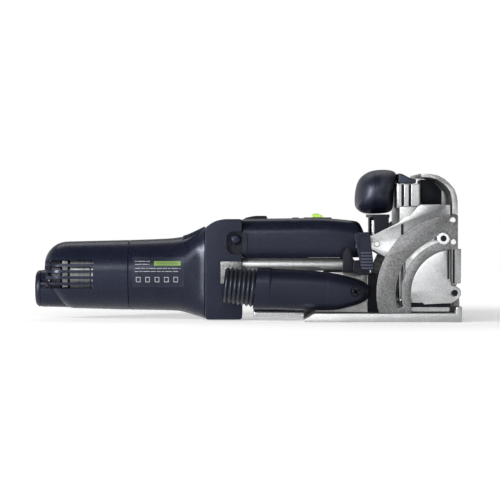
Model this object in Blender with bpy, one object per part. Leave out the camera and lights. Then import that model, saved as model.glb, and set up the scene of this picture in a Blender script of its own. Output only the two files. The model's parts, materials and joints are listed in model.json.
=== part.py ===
"""A plunging loose-tenon joiner, the kind sold beside biscuit joiners, as an assembly of separate pieces.

Run with: blender --background --python part.py
+X points forward to the workpiece, +Y to the operator's left and +Z up. The origin is the middle of the
box's underside. Numbers are millimetres and degrees; MM turns them into Blender's metres.
"""

import math

import bmesh
import bpy
from mathutils import Matrix, Vector

MM = 0.001
GAP = 0.3  # between solids that touch

# Driving dimensions
FRONT = 195.0  # the face that is held against the workpiece
HALF_FENCE = 70.0  # half the width over the two quadrants
HALF_WIDTH = 75.0  # half the width over the clamp levers
MOTOR_Z = 41.0  # the motor's axis above the sole
MOTOR_R = 32.4  # the barrel's outside
SPINDLE_Z = 10.0  # the cutter's axis above the sole
PLUNGE = 28.0  # the deepest mortise
HEAD_FRONT = -3.0
HEAD_HALF = 35.0
HOOD_HALF = 34.0
HOOD_BOTTOM = 57.6
WALL = 3.0
COLUMN_Y, COLUMN_Z, COLUMN_R = 27.0, 50.8, 5.5
COLUMN_REAR, COLUMN_TIP = -23.0, 97.0
SOLE_TOP = 7.8
PIVOT_X, PIVOT_Z = 188.2, 26.4  # the fence's tilt axis
SLOT_R = 50.2  # the quadrant's curved slot, at its middle
SLOT_HALF = 2.6
RING_IN, RING_OUT = 40.0, 70.2
CLAMP_ANGLE = 101.7  # where the clamp bolt stands in the slot, seen from the pivot
POST_X, POST_Y, POST_R = 150.0, 30.0, 5.0
DUCT_Y = -53.0
INLET_Z = 28.4  # the power inlet's axis
BUTTON_X, BUTTON_Z = -8.9, 74.3  # the release button
DIAL_X = 67.0
LEVER_X, LEVER_Z = 105.4, 73.0  # the height clamp lever's axle
WALL_IN, WALL_OUT = 186.2, 191.2  # the fence's plate, folded up
PAD_OUT = 194.6  # the thicker band across the fence's face
DRUM_Y, DRUM_Z, DRUM_R = 48.0, 28.0, 9.5
DRUM_STEPS = (28, 25, 20, 15, 12)  # the mortise depths, in the order that the drum shows them
STOP_TIP = 54.2
PINION_TIP, PINION_TEETH = 8.0, 16
IDLER_TIP, IDLER_TEETH = 8.0, 16
WHEEL_TIP, WHEEL_TEETH = 6.1, 12
TOOTH = 1.3  # the height of a gear's tooth
GEAR_X = (9.4, 15.6)
IDLER_Z = MOTOR_Z - PINION_TIP - IDLER_TIP - 0.45

# The barrel's flare, as (X, value) stations
FLARE_TOP = (
    (-107.7, 73.4), (-90, 74.0), (-70.3, 74.9), (-60, 76.2), (-54.8, 77.2), (-47, 80.3), (-37.3, 85.6),
)  # fmt: skip
FLARE_BOTTOM = (
    (-107.7, 8.6), (-82.7, 8.2), (-62.6, 7.5), (-54.8, 5.9), (-47, 3.6), (-37.3, 0.9),
)  # fmt: skip
FLARE_HALF = ((-107.7, 32.4), (-64, 32.4), (-50, 33.0), (-37.3, HEAD_HALF))
FLARE_POWER = ((-107.7, 2.0), (-75, 2.0), (-55, 2.6), (-37.3, 4.5))
HOOD_TOP = (
    (-2.7, 93.0), (42, 93.6), (64.6, 93.9), (78, 93.4), (92, 92.2), (101.5, 91.2), (104.8, 89.6), (109, 81.5),
)  # fmt: skip
DUCT_LEAN = 0.114  # how far the spout's collar leans back, per unit of height
DUCT = (  # X along the duct, centre Z, half width, half height, squareness
    (8.6, 30.1, 15.5, 18.9, 2.3),
    (21.2, 30.0, 15.5, 19.0, 2.3),
    (22.2, 29.6, 15.2, 18.5, 2.3),
    (48, 28.7, 15.2, 18.6, 2.5),
    (80, 27.2, 15.0, 16.7, 2.7),
    (96, 27.0, 14.0, 13.3, 2.8),
    (106, 27.0, 11.0, 10.0, 2.8),
    (111.5, 27.0, 5.4, 6.2, 2.6),
)
SPOUT_START, SPOUT_TILT = (-19.7, 33.4), 6.3  # the bellows' outer end, as X and Z, and its slope
SPOUT_LENGTH, SPOUT_BORE = 27.9, 13.4
HANDLE = (  # the grip's outline from the side, as X and Z
    (101.6, 105.8), (101.8, 115.1), (103.7, 126.2), (107.9, 132.7), (115.3, 137.3), (122.8, 138.9),
    (130, 139), (137.5, 137.6), (139.8, 134.6), (139.9, 129.5), (137.6, 124), (136.6, 112),
    (135.6, 101.5), (131, 98.4), (115.3, 97.6), (109.2, 98.4), (104.2, 101.4),
)  # fmt: skip
ARCH = (  # outside of the arch, from the plate up and back to its lip, then inside on the way down
    (191.2, 99.3), (191.0, 109.5), (190.2, 114.2), (188.2, 119.8), (183.6, 125.2), (179.2, 129.2),
    (172.8, 132.6), (165.2, 133.8), (158.0, 134.0), (158.0, 130.8), (166.3, 130.6), (172.5, 128.9),
    (177.5, 125.7), (181.5, 121.6), (184.4, 117.4), (185.6, 113.4), (WALL_IN, 108.0),
)  # fmt: skip

FINISHES = {  # colour, roughness, metallic
    "plastic": ((0.052, 0.056, 0.075), 0.42, 0.0),
    "black": ((0.012, 0.012, 0.015), 0.45, 0.0),
    "rubber": ((0.03, 0.031, 0.036), 0.7, 0.0),
    "casting": ((0.62, 0.63, 0.64), 0.38, 1.0),
    "steel": ((0.6, 0.6, 0.61), 0.22, 1.0),
    "copper": ((0.6, 0.28, 0.14), 0.4, 1.0),
    "green": ((0.3, 0.62, 0.08), 0.4, 0.0),
}


def clear_scene():
    for obj in list(bpy.data.objects):
        bpy.data.objects.remove(obj, do_unlink=True)


def material(finish):
    found = bpy.data.materials.get(finish)
    if found:
        return found
    colour, roughness, metallic = FINISHES[finish]
    made = bpy.data.materials.new(finish)
    made.use_nodes = True
    shader = made.node_tree.nodes["Principled BSDF"]
    shader.inputs["Base Color"].default_value = (*colour, 1.0)
    shader.inputs["Roughness"].default_value = roughness
    shader.inputs["Metallic"].default_value = metallic
    return made


def body(name, place=(0.0, 0.0, 0.0)):
    """An empty on a joint's axis, which carries the pieces that move with that joint."""
    empty = bpy.data.objects.new(name + "_body", None)
    empty.location = Vector(place) * MM
    bpy.context.scene.collection.objects.link(empty)
    return empty


# Shapes: each returns (points, faces), in millimetres


def placed(axis, along, across, up):
    """A point from its place along an axis and its two other coordinates, in X, Y, Z order."""
    return {"x": (along, across, up), "y": (across, along, up), "z": (across, up, along)}[axis]


def prism(outline, low, high, axis="y"):
    """An outline in the two axes other than this one, pulled from low to high along it."""
    count = len(outline)
    points = [placed(axis, end, u, v) for end in (low, high) for u, v in outline]
    sides = [(i, (i + 1) % count, count + (i + 1) % count, count + i) for i in range(count)]
    return points, sides + [tuple(range(count)), tuple(range(count, 2 * count))]


def padded(outline, low, high, edge):
    """A prism along Y whose two ends are eased by this much all round."""
    middle = [sum(p[k] for p in outline) / len(outline) for k in (0, 1)]
    size = [max(p[k] for p in outline) - min(p[k] for p in outline) for k in (0, 1)]
    sections = []
    for y, inset in ((low, edge), (low + 0.3 * edge, 0.3 * edge), (low + edge, 0)):
        shrink = [1 - 2 * inset / size[k] for k in (0, 1)]
        outer = [[middle[k] + (p[k] - middle[k]) * shrink[k] for k in (0, 1)] for p in outline]
        sections.append([(x, y, z) for x, z in outer])
    mirror = [[(x, low + high - y, z) for x, y, z in section] for section in reversed(sections)]
    return lofted(sections + mirror)


def box(low, high):
    (x0, y0, z0), (x1, y1, z1) = low, high
    return prism([(x0, z0), (x1, z0), (x1, z1), (x0, z1)], y0, y1)


def turned(profile, centre, axis="x", sides=24):
    """A profile of (along, radius) swept round an axis. It starts and ends at radius 0, or it is a closed loop."""
    points, rings = [], []
    for along, radius in profile:
        ring = []
        for k in range(sides if radius > 0 else 1):
            turn = 2 * math.pi * (k + 0.5) / sides
            ring.append(len(points))
            points.append(
                placed(axis, along, centre[0] + radius * math.cos(turn), centre[1] + radius * math.sin(turn))
            )
        rings.append(ring)
    pairs = list(zip(rings, rings[1:]))
    if profile[0][1] > 0:
        pairs.append((rings[-1], rings[0]))
    faces = []
    for first, second in pairs:
        for k in range(sides):
            after = (k + 1) % sides
            quad = [first[k % len(first)], first[after % len(first)]]
            quad += [second[after % len(second)], second[k % len(second)]]
            faces.append(tuple(dict.fromkeys(quad)))
    return points, faces


def rod(radius, low, high, centre, axis="x", sides=24):
    return turned([(low, 0), (low, radius), (high, radius), (high, 0)], centre, axis, sides)


def ring(inner, outer, low, high, centre, axis="x", sides=24):
    return turned([(low, inner), (low, outer), (high, outer), (high, inner)], centre, axis, sides)


def lofted(sections):
    """Closed sections of equal length, each a list of points, joined in order and capped at both ends."""
    count = len(sections[0])
    points = [point for section in sections for point in section]
    faces = [tuple(range(count)), tuple(range(len(points) - count, len(points)))]
    for s in range(len(sections) - 1):
        for k in range(count):
            after = (k + 1) % count
            faces.append(
                (s * count + k, s * count + after, (s + 1) * count + after, (s + 1) * count + k)
            )
    return points, faces


def oval(half_y, half_z, centre_y, centre_z, power=2.0, sides=28):
    """A superellipse in Y and Z: power 2 is an ellipse, and a higher power is squarer."""
    made = []
    for k in range(sides):
        turn = 2 * math.pi * (k + 0.5) / sides
        c, s = math.cos(turn), math.sin(turn)
        y = half_y * math.copysign(abs(c) ** (2 / power), c)
        z = half_z * math.copysign(abs(s) ** (2 / power), s)
        made.append((centre_y + y, centre_z + z))
    return made


def arc(radius, start, end, steps, centre=(0.0, 0.0)):
    """Points on an arc, from one angle to another, both ends included."""
    turns = [math.radians(start + (end - start) * k / steps) for k in range(steps + 1)]
    return [(centre[0] + radius * math.cos(t), centre[1] + radius * math.sin(t)) for t in turns]


def ramp(stations, x):
    """A value between (place, value) stations, in straight lines."""
    for (x0, v0), (x1, v1) in zip(stations, stations[1:]):
        if x <= x1:
            t = min(1.0, max(0.0, (x - x0) / (x1 - x0)))
            return v0 + (v1 - v0) * t
    return stations[-1][1]


# Objects


def piece(name, shape, finish, parent, sharp=35.0):
    """One named object, shaded smooth but for its sharp edges, parented to its body's empty."""
    points, faces = shape
    mesh = bpy.data.meshes.new(name)
    mesh.from_pydata([Vector(p) * MM for p in points], [], faces)
    work = bmesh.new()
    work.from_mesh(mesh)
    bmesh.ops.recalc_face_normals(work, faces=work.faces)
    work.to_mesh(mesh)
    work.free()
    mesh.shade_smooth()
    mesh.set_sharp_from_angle(angle=math.radians(sharp))
    mesh.materials.append(material(finish))
    obj = bpy.data.objects.new(name, mesh)
    bpy.context.scene.collection.objects.link(obj)
    if parent:
        obj.parent = parent
        obj.matrix_parent_inverse = Matrix.Translation(-parent.location)
    return obj


def combine(obj, shape, operation):
    """Cuts a shape from an object, or joins one to it, with a Boolean whose helper is hidden."""
    helper = piece(f"{obj.name}.{operation.lower()}.{len(obj.modifiers)}", shape, "black", None)
    helper.hide_render = True
    helper.display_type = "WIRE"
    modifier = obj.modifiers.new(operation.lower(), "BOOLEAN")
    modifier.operation = operation
    modifier.object = helper
    return obj


def cut(obj, *shapes):
    for shape in shapes:
        combine(obj, shape, "DIFFERENCE")
    return obj


def join(obj, *shapes):
    for shape in shapes:
        combine(obj, shape, "UNION")
    return obj


def sides_of(name):
    """The operator's right is -Y and the left is +Y."""
    return ((name + "_right", -1), (name + "_left", 1))


def mirrored(low, high, side):
    """Low and high distances from the middle plane as Y values on one side of it."""
    return (low, high) if side > 0 else (-high, -low)


# The guide frame, which rests on the sole


def base_frame(parent):
    sole = [(53.5, 0), (190.5, 0), (190.5, SOLE_TOP), (62, SOLE_TOP), (53.5, 2.5)]
    frame = piece("base_frame", prism(sole, -HALF_FENCE, HALF_FENCE), "casting", parent)
    cut(frame, box((50, -24, 1.5), (190, 24, 12)))
    face = [(-70, 0), (70, 0), (70, 13.8), (45, 13.8), (45, 21), (-45, 21), (-45, 13.8), (-70, 13.8)]
    join(frame, prism(face, 189.7, FRONT, "x"))
    slot = arc(8, -90, 90, 8, (10, 11.5)) + arc(8, 90, 270, 8, (-10, 11.5))
    cut(frame, prism(slot, 188, 197, "x"))
    wall = [(64, 5), (111.6, 5), (111.6, 44.2), (74, 44.2), (64, 34)]
    for side in (-1, 1):
        low, high = mirrored(31, 37, side)
        join(frame, prism(wall, low, high))
        join(frame, rod(8.2, 5, 18, (POST_X, side * POST_Y), "z"))
    cut(frame, box((78, -40, 18), (98, -28, 34)))
    for x in (62.5, 96.5):
        lug = [(DRUM_Y + 4, 25), *arc(4, 0, 120, 6, (DRUM_Y, DRUM_Z)), (36, 27), (36, 18)]
        join(frame, prism(lug, x, x + 3.5, "x"))
    cut(frame, rod(2.5 + GAP, 60, 102, (DRUM_Y, DRUM_Z), "x", 16))
    for side in (-1, 1):
        cut(frame, rod(POST_R + GAP, 8, 20, (POST_X, side * POST_Y), "z"))
    return frame


def frame_fittings(parent):
    for name, side in sides_of("height_post"):
        piece(name, rod(POST_R, 8.3, 121, (POST_X, side * POST_Y), "z"), "steel", parent)
    for name, side in sides_of("base_rail"):
        profile = [(7.3, 0), (7.3, 3.8), (8.3, 4.6), (53.2, 4.6), (53.2, 0)]
        piece(name, turned(profile, (side * 41, 6.6)), "steel", parent)
    ear = [(89, 62.3), (92.5, 67.1), (96, 66), (97.5, 58), (100.2, 53.8), (102.5, 50.1), (106.6, 41.9)]
    ear += [(104, 42.5), (97.5, 44.8), (89, 44.9)]
    for name, side in sides_of("column_bush"):
        low, high = mirrored(20, 44, side)
        bush = piece(name, box((89, low, 44.5), (97.5, high, 57.3)), "black", parent)
        low, high = mirrored(38, 46, side)
        join(bush, prism(ear, low, high))
        cut(bush, rod(COLUMN_R + 0.35, 80, 110, (side * COLUMN_Y, COLUMN_Z)))
    chute = [(112, 8.1), (138, 8.1), (138, 36), (130, 43.5), (112, 43.5)]
    piece("chip_chute", prism(chute, -36.8, -31.2), "black", parent)
    spring = ring(COLUMN_R + 0.4, COLUMN_R + 1.1, HEAD_FRONT + 0.4, 88.6, (COLUMN_Y, COLUMN_Z), "x", 16)
    piece("return_spring", spring, "steel", parent)


def dust_spout(parent):
    def shell(inset, last):
        made = []
        for x, z, half_y, half_z, power in DUCT[:last]:
            outline = oval(half_y - inset, half_z - inset, DUCT_Y, z, power, 24)
            lean = DUCT_LEAN if x < 23 else 0.0
            made.append([(x + lean * (h - z), y, max(h, SOLE_TOP + GAP)) for y, h in outline])
        return made

    duct = piece("dust_duct", lofted(shell(0, len(DUCT))), "plastic", parent)
    bore = shell(2.4, 6)
    bore[0] = [(x - 3, y, z) for x, y, z in bore[0]]
    cut(duct, lofted(bore))
    cut(duct, box((79, -45, 19), (97, -30, 33)))
    cut(duct, rod(3.6, -66.5, -60, (99.6, 27.4), "y", 16))
    piece("duct_screw", rod(3.2, -66.2, -63.4, (99.6, 27.4), "y", 16), "steel", parent)
    rings = 7
    step = SPOUT_LENGTH / rings
    profile = [(0, SPOUT_BORE), (0, 16.1)]
    for k in range(rings):
        crest = 16.1 + 1.3 * k / (rings - 1)
        start = step * k
        profile += [(start + 0.62 * step, crest), (start + 0.68 * step, crest - 1.5)]
        profile.append((start + 0.96 * step, crest - 1.5))
        if k < rings - 1:
            profile.append((start + step, crest))
    profile.append((SPOUT_LENGTH, SPOUT_BORE))
    points, faces = turned(profile, (0, 0), "x", 24)
    turn = Matrix.Rotation(math.radians(SPOUT_TILT), 4, "Y")
    end = Vector((SPOUT_START[0], DUCT_Y, SPOUT_START[1]))
    bellows = [tuple(turn @ Vector(point) + end) for point in points]
    piece("duct_bellows", (bellows, faces), "rubber", parent)


# The depth stop, on the operator's left

def depth_stop(frame_body, drum_body, motor_body):
    piece("depth_axle", rod(2.5, 61.5, 101, (DRUM_Y, DRUM_Z), "x", 16), "steel", frame_body)
    top = STOP_TIP + PLUNGE + GAP
    drum = piece("depth_drum", rod(DRUM_R, top, 96, (DRUM_Y, DRUM_Z), "x", 30), "black", drum_body)
    for k, depth in enumerate(DRUM_STEPS[1:], 1):
        middle = 90 + 72 * k
        wedge = [(DRUM_Y, DRUM_Z), *arc(DRUM_R - 0.6, middle - 36, middle + 36, 5, (DRUM_Y, DRUM_Z))]
        join(drum, prism(wedge, STOP_TIP + depth + GAP, 90, "x"))
    cut(drum, rod(2.5 + GAP, 60, 102, (DRUM_Y, DRUM_Z), "x", 16))
    arm = piece("depth_stop_rod", box((-24, 35.3, 28), (-9, 50.5, 39)), "steel", motor_body)
    join(arm, rod(2.2, -12, STOP_TIP, (DRUM_Y, DRUM_Z + 6.8), "x", 16))


# The motor unit, which plunges


def motor_casings(parent):
    def housing_section(x, inset):
        top, bottom = ramp(FLARE_TOP, x) - inset, ramp(FLARE_BOTTOM, x) + inset
        half, power = ramp(FLARE_HALF, x) - inset, ramp(FLARE_POWER, x)
        outline = oval(half, (top - bottom) / 2, 0, (top + bottom) / 2, power)
        return [(x, y, z) for y, z in outline]

    stations = (-107.7, -90, -72, -64, -57, -50, -47, -37.3)
    housing = piece("motor_housing", lofted([housing_section(x, 0) for x in stations]), "plastic", parent)
    inner = [(-110, -107.7), (-76, -76)]
    cut(housing, lofted([[(x, y, z) for _, y, z in housing_section(at, WALL)] for x, at in inner]))
    cut(housing, rod(22, -80, -30, (0, MOTOR_Z), "x", 28))

    outer = [(-186, 13), (-185.3, 17.2), (-182.8, 22), (-178.6, 26.4), (-173, 29.6), (-166, 30.9)]
    outer.append((-108, MOTOR_R))
    inner = [(-108, 29.2), (-166, 27.8), (-174, 25.4), (-180, 20), (-182.5, 14), (-182.5, 9.2)]
    cap = piece("rear_cap", turned([*outer, *inner, (-186, 9.2)], (0, MOTOR_Z), "x", 28), "plastic", parent)
    for k in range(-2, 3):
        z = 42 + 5.7 * k
        cut(cap, box((-190, -35, z - 1.6), (-140, -18.5, z + 1.6)))
        cut(cap, box((-190, 18.5, z - 1.6), (-140, 35, z + 1.6)))

    boot = [(-189.6, 14.6), (-189.6, 17.2), (-166, 17.2), (-166, 14.6)]
    join(cap, turned(boot, (0, INLET_Z), "x", 24))
    cut(cap, rod(9.2, -184, -150, (0, MOTOR_Z)), rod(4.3, -188, -150, (0, MOTOR_Z), "x", 20))
    cut(cap, rod(14.6, -200, -183.2, (0, INLET_Z)))
    inlet = [(-185, 0), (-185, 14.2), (-189.9, 14.2), (-189.9, 16.9), (-192.5, 16.7), (-194.2, 15.2)]
    inlet += [(-195, 12.5), (-195, 9), (-188.6, 9), (-188.6, 0)]
    inlet_piece = piece("power_inlet", turned(inlet, (0, INLET_Z), "x", 24), "plastic", parent)
    for y in (-4, 4):
        join(inlet_piece, rod(1.4, -193.5, -187, (y, INLET_Z), "x", 8))


def gear_head(parent):
    outline = [(-37, 1.8), (-36, 0.8), (-4, 0.8), (-3, 1.4), (-3, 92.7), (-19.4, 92.4), (-27.5, 91.4)]
    outline += [(-35.6, 87.6), (-37, 85.6)]
    head = piece("gear_head", padded(outline, -HEAD_HALF, HEAD_HALF, 2.5), "plastic", parent)
    cut(head, box((-29, -16, 5), (0, 16, 84)))
    cut(head, rod(9.3, -40, -25, (0, MOTOR_Z), "x", 24))
    for side in (-1, 1):
        cut(head, rod(COLUMN_R + GAP, COLUMN_REAR - GAP, 5, (side * COLUMN_Y, COLUMN_Z)))
        low, high = mirrored(33.3, 40, side)
        cut(head, box((-23.3, low, 33.4), (5, high, 54.6)))
    cut(head, rod(7.7, -40, -30.5, (BUTTON_X, BUTTON_Z), "y", 24))
    cut(head, rod(4.9, -32, -24, (BUTTON_X, BUTTON_Z), "y", 20))
    for name, side in sides_of("column_clamp"):
        low, high = mirrored(33.6, 35.0, side)
        piece(name, box((-22.9, low, 33.8), (-3.4, high, 54.2)), "casting", parent)
    for name, side in sides_of("guide_column"):
        profile = [(COLUMN_REAR, 0), (COLUMN_REAR, COLUMN_R), (COLUMN_TIP - 1, COLUMN_R)]
        profile += [(COLUMN_TIP, 4.6), (COLUMN_TIP, 0)]
        piece(name, turned(profile, (side * COLUMN_Y, COLUMN_Z)), "steel", parent)


def hood_section(x, inset, bottom, corner=15.0):
    """An upright outline with a flat foot and two rounded shoulders."""
    top = ramp(HOOD_TOP, x) - inset
    half = HOOD_HALF - inset
    radius = min(corner - inset, top - bottom - 1)
    shoulder = arc(radius, 0, 90, 6, (half - radius, top - radius))
    left = [(-y, z) for y, z in reversed(shoulder)]
    return [(x, y, z) for y, z in [(half, bottom), *shoulder, *left, (-half, bottom)]]


def gear_hood(parent):
    stations = (-2.7, 20, 42, 64.6, 78, 92, 101.5, 104.8, 109)
    hood = piece("gear_hood", lofted([hood_section(x, 0, HOOD_BOTTOM) for x in stations]), "plastic", parent)
    inner = [hood_section(x, WALL, HOOD_BOTTOM - 5, 14.0) for x in (-2.7, 42, 78, 98, 104)]
    inner[0] = [(-6, y, z) for _, y, z in inner[0]]
    cut(hood, lofted(inner))
    cut(hood, rod(13.4, 92.2, 99, (DIAL_X, 0), "z", 28))
    cut(hood, box((-1.2, -8.6, 91.5), (25.8, 8.6, 99)))


def controls(motor_body, switch_body, dial_body, button_body):
    wedge = [(-0.8, 91.8), (-0.8, 94), (6, 95.4), (10, 95.9), (19.2, 95.9), (20.2, 94.2), (20.2, 91.8)]
    piece("power_switch", prism(wedge, -8, 8), "black", switch_body)
    piece("width_dial", rod(13.0, 92.5, 94.4, (DIAL_X, 0), "z", 28), "black", dial_body)
    lever = [(-4.8, 94.7), (-4.8, 98), (0, 98), (4.8, 95.8), (4.8, 94.7)]
    piece("dial_pointer", prism([(DIAL_X + x, z) for x, z in lever], -9, 9), "green", dial_body)
    piece("release_button", rod(4.6, -35.4, -28.6, (BUTTON_X, BUTTON_Z), "y", 20), "black", button_body)


def motor_parts(motor_body, rotor_body):
    axis = (0, MOTOR_Z)
    piece("stator_core", ring(18.6, 26.8, -142, -96, axis), "steel", motor_body)
    for name, side in sides_of("carbon_brush"):
        low, high = mirrored(11.6, 22, side)
        piece(name, box((-160, low, MOTOR_Z - 4), (-152, high, MOTOR_Z + 4)), "black", motor_body)
    piece("rear_bearing", ring(4.3, 8.8, -182.2, -175, axis), "steel", motor_body)
    piece("front_bearing", ring(4.3, 9.0, -36.4, -29.6, axis), "steel", motor_body)
    profile = [(-181, 0), (-181, 4), (57, 4), (57, 0)]
    piece("rotor_shaft", turned(profile, axis, "x", 20), "steel", rotor_body)
    piece("rotor_core", ring(4.3, 17.6, -141, -94, axis), "steel", rotor_body)
    piece("commutator", ring(4.3, 11, -162, -149.4, axis), "copper", rotor_body)
    fan = piece("cooling_fan", ring(4.3, 8, -92, -80, axis), "black", rotor_body)
    for k in range(9):
        turn = math.radians(40 * k)
        reach = [(7, -0.8), (26, -0.8), (26, 0.8), (7, 0.8)]
        blade = [
            (y * math.cos(turn) - z * math.sin(turn), MOTOR_Z + y * math.sin(turn) + z * math.cos(turn))
            for y, z in reach
        ]
        join(fan, prism(blade, -90, -81, "x"))
    join(fan, ring(6, 26.6, -92, -90, axis, "x", 27))


# The swinging spindle

def gear(tip, teeth, bore, centre):
    """A spur gear with straight-sided teeth."""
    outline = []
    for k in range(teeth):
        pitch = 2 * math.pi / teeth
        for share, radius in ((-0.32, tip - TOOTH), (-0.16, tip), (0.16, tip), (0.32, tip - TOOTH)):
            turn = pitch * (k + share)
            outline.append((centre[0] + radius * math.sin(turn), centre[1] + radius * math.cos(turn)))
    return prism(outline, *GEAR_X, "x"), rod(bore, GEAR_X[0] - 1, GEAR_X[1] + 1, centre, "x", 16)


def gear_piece(name, tip, teeth, bore, centre, parent):
    solid, hole = gear(tip, teeth, bore, centre)
    return cut(piece(name, solid, "steel", parent), hole)


def spindle_drive(motor_body, rotor_body, arm_body, idler_body, spindle_body):
    gear_piece("drive_pinion", PINION_TIP, PINION_TEETH, 4.3, (0, MOTOR_Z), rotor_body)
    gear_piece("idler_gear", IDLER_TIP, IDLER_TEETH, 2.8, (0, IDLER_Z), idler_body)
    gear_piece("spindle_gear", WHEEL_TIP, WHEEL_TEETH, 3.3, (0, SPINDLE_Z), spindle_body)

    case = piece("gear_case", box((52.5, -19, 33), (58, 19, 57)), "casting", motor_body)
    join(case, box((-2.0, -19, 54), (56, 19, 57)), box((-2.6, -20, 44), (1.5, 20, 56.5)))
    cut(case, rod(4.3, -10, 60, (0, MOTOR_Z), "x", 20))

    arm = piece("spindle_arm", rod(12, 18, 50, (0, MOTOR_Z)), "casting", arm_body)
    join(arm, rod(8, 18, 112, (0, SPINDLE_Z)))
    web = [(19, SPINDLE_Z), (19, MOTOR_Z), (49, MOTOR_Z), (49, 30), (70, 15), (70, SPINDLE_Z)]
    join(arm, prism(web, -4, 4))
    cut(arm, rod(4.7, 10, 60, (0, MOTOR_Z), "x", 20), rod(5.3, 10, 120, (0, SPINDLE_Z), "x", 20))
    join(arm, rod(2.5, 9.4, 22, (0, IDLER_Z), "x", 16))

    profile = [(9.4, 0), (9.4, 3), (16.4, 3), (16.4, 5), (112.5, 5), (112.5, 7.2), (150, 7.2)]
    profile += [(157, 5.6), (157, 0)]
    shaft = piece("tool_spindle", turned(profile, (0, SPINDLE_Z), "x", 20), "steel", spindle_body)
    cut(shaft, rod(3.3, 145, 160, (0, SPINDLE_Z), "x", 16))
    profile = [(146, 0), (146, 3), (157.6, 3), (158.5, 4), (193.6, 4), (194, 3.4), (194, 0)]
    piece("mortise_cutter", turned(profile, (0, SPINDLE_Z), "x", 16), "steel", spindle_body)


# The fence carriage, which rises on the two posts


def about_pivot(radius, start, end, steps):
    return arc(radius, start, end, steps, (PIVOT_X, PIVOT_Z))


def carriage(parent):
    block = piece("carriage_body", box((139.5, -60.7, 62), (160.5, 60.7, 104)), "casting", parent)
    join(block, box((138.4, -38, 103), (159.5, 38, 125.2)))
    for side in (-1, 1):
        cut(block, rod(POST_R + 0.35, 50, 130, (POST_X, side * POST_Y), "z"))

    plate = [(113.7, 77.7), (137.6, 89.4), (144.4, 94.8), (149.3, 96.3), (155.6, 104.1), (158.3, 105.6)]
    plate += [(184.5, 105.6), (184.5, 40), (184, 17.5), (144.5, 17.5), (144.5, 57), (127, 58.5), (115, 65.3)]
    plate += [(108, 63), (100, 67), (99, 74), (102, 79.5), (108, 80.5)]
    cheek = [*about_pivot(39.2, 100.5, 181, 12), (153.8, 25.2), (161, 16.2), (186, 17.4)]
    cheek += about_pivot(6.3, -70, 75, 8) + [(185.6, 33), (184, 39.5), (182, 42)]
    bolt_x, bolt_z = about_pivot(SLOT_R, CLAMP_ANGLE, CLAMP_ANGLE, 1)[0]
    for name, side in sides_of("carriage_side"):
        low, high = mirrored(61, 65.5, side)
        flank = piece(name, prism(plate, low, high), "casting", parent)
        low, high = mirrored(61.0, HALF_FENCE, side)
        join(flank, prism(cheek, low, high))
        low, high = mirrored(50, 80, side)
        cut(flank, rod(3.3, low, high, (PIVOT_X, PIVOT_Z), "y", 16))
        cut(flank, rod(2.6, low, high, (bolt_x, bolt_z), "y", 16))
        cut(flank, rod(3.3, low, high, (LEVER_X, LEVER_Z), "y", 16))
    for name, side in sides_of("fence_pin"):
        low, high = mirrored(54.4, 69.6, side)
        piece(name, rod(3.0, low, high, (PIVOT_X, PIVOT_Z), "y", 16), "steel", parent)
    head = [(-74.6, 0), (-74.6, 5.2), (-74.0, 5.8), (-70.4, 5.8), (-70.4, 2.2), (-61.3, 2.2), (-61.3, 0)]
    bolt = piece("angle_clamp_bolt", turned(head, (bolt_x, bolt_z), "y", 20), "steel", parent)
    cut(bolt, rod(2.2, -80, -72.4, (bolt_x, bolt_z), "y", 6))
    piece("height_pointer", box((114.4, -60.7, 76), (116.7, -55, 92)), "steel", parent)


def handle(parent):
    middle_x, middle_z, reach = 121.0, 118.0, 40.0
    sections = []
    for y in (-40, -38.5, -34, -26, -14, 14, 26, 34, 38.5, 40):
        swell = max(0.0, 1 - abs(y / (reach + 0.6)) ** 3.4) ** 0.5
        section = []
        for x, z in HANDLE:
            section.append((middle_x + (x - middle_x) * swell, y, middle_z + (z - middle_z) * swell))
        sections.append(section)
    piece("handle_grip", lofted(sections), "plastic", parent)
    bracket = piece("handle_bracket", box((115, -60.7, 94.2), (130.4, 60.7, 97.2)), "black", parent)
    for side in (-1, 1):
        low, high = mirrored(37, 60.7, side)
        join(bracket, prism([(117, 68), (129.7, 68), (129.7, 96), (117, 96)], low, high))
    wedge = [(140.2, 125.5), (156, 125.5), (156, 129.4), (150, 130.6), (140.2, 134.2)]
    piece("column_cap", prism(wedge, -36, 36), "plastic", parent)


def clamp_levers(height_body, angle_body):
    outline = [(97.7, 78.6), (99.5, 80.4), (110.2, 81.4), (111.6, 79.6), (115.8, 48.2), (114.6, 46.9)]
    outline += [(105.6, 46.9), (104.4, 48.2)]
    lever = piece("height_clamp_lever", prism(outline, -HALF_WIDTH, -66.2), "plastic", height_body)
    join(lever, rod(3.0, -70, -58, (LEVER_X, LEVER_Z), "y", 16))
    bolt_x, bolt_z = about_pivot(SLOT_R, CLAMP_ANGLE, CLAMP_ANGLE, 1)[0]
    reach = [(bolt_x - 26, bolt_z - 22), (bolt_x - 22, bolt_z - 27), (bolt_x + 4, bolt_z - 5)]
    reach += arc(6, -40, 130, 8, (bolt_x, bolt_z)) + [(bolt_x - 6, bolt_z + 3)]
    lever = piece("angle_clamp_lever", prism(reach, 70.4, HALF_WIDTH), "plastic", angle_body)
    join(lever, rod(2.2, 61.3, 72, (bolt_x, bolt_z), "y", 16))


# The tilting fence

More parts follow.
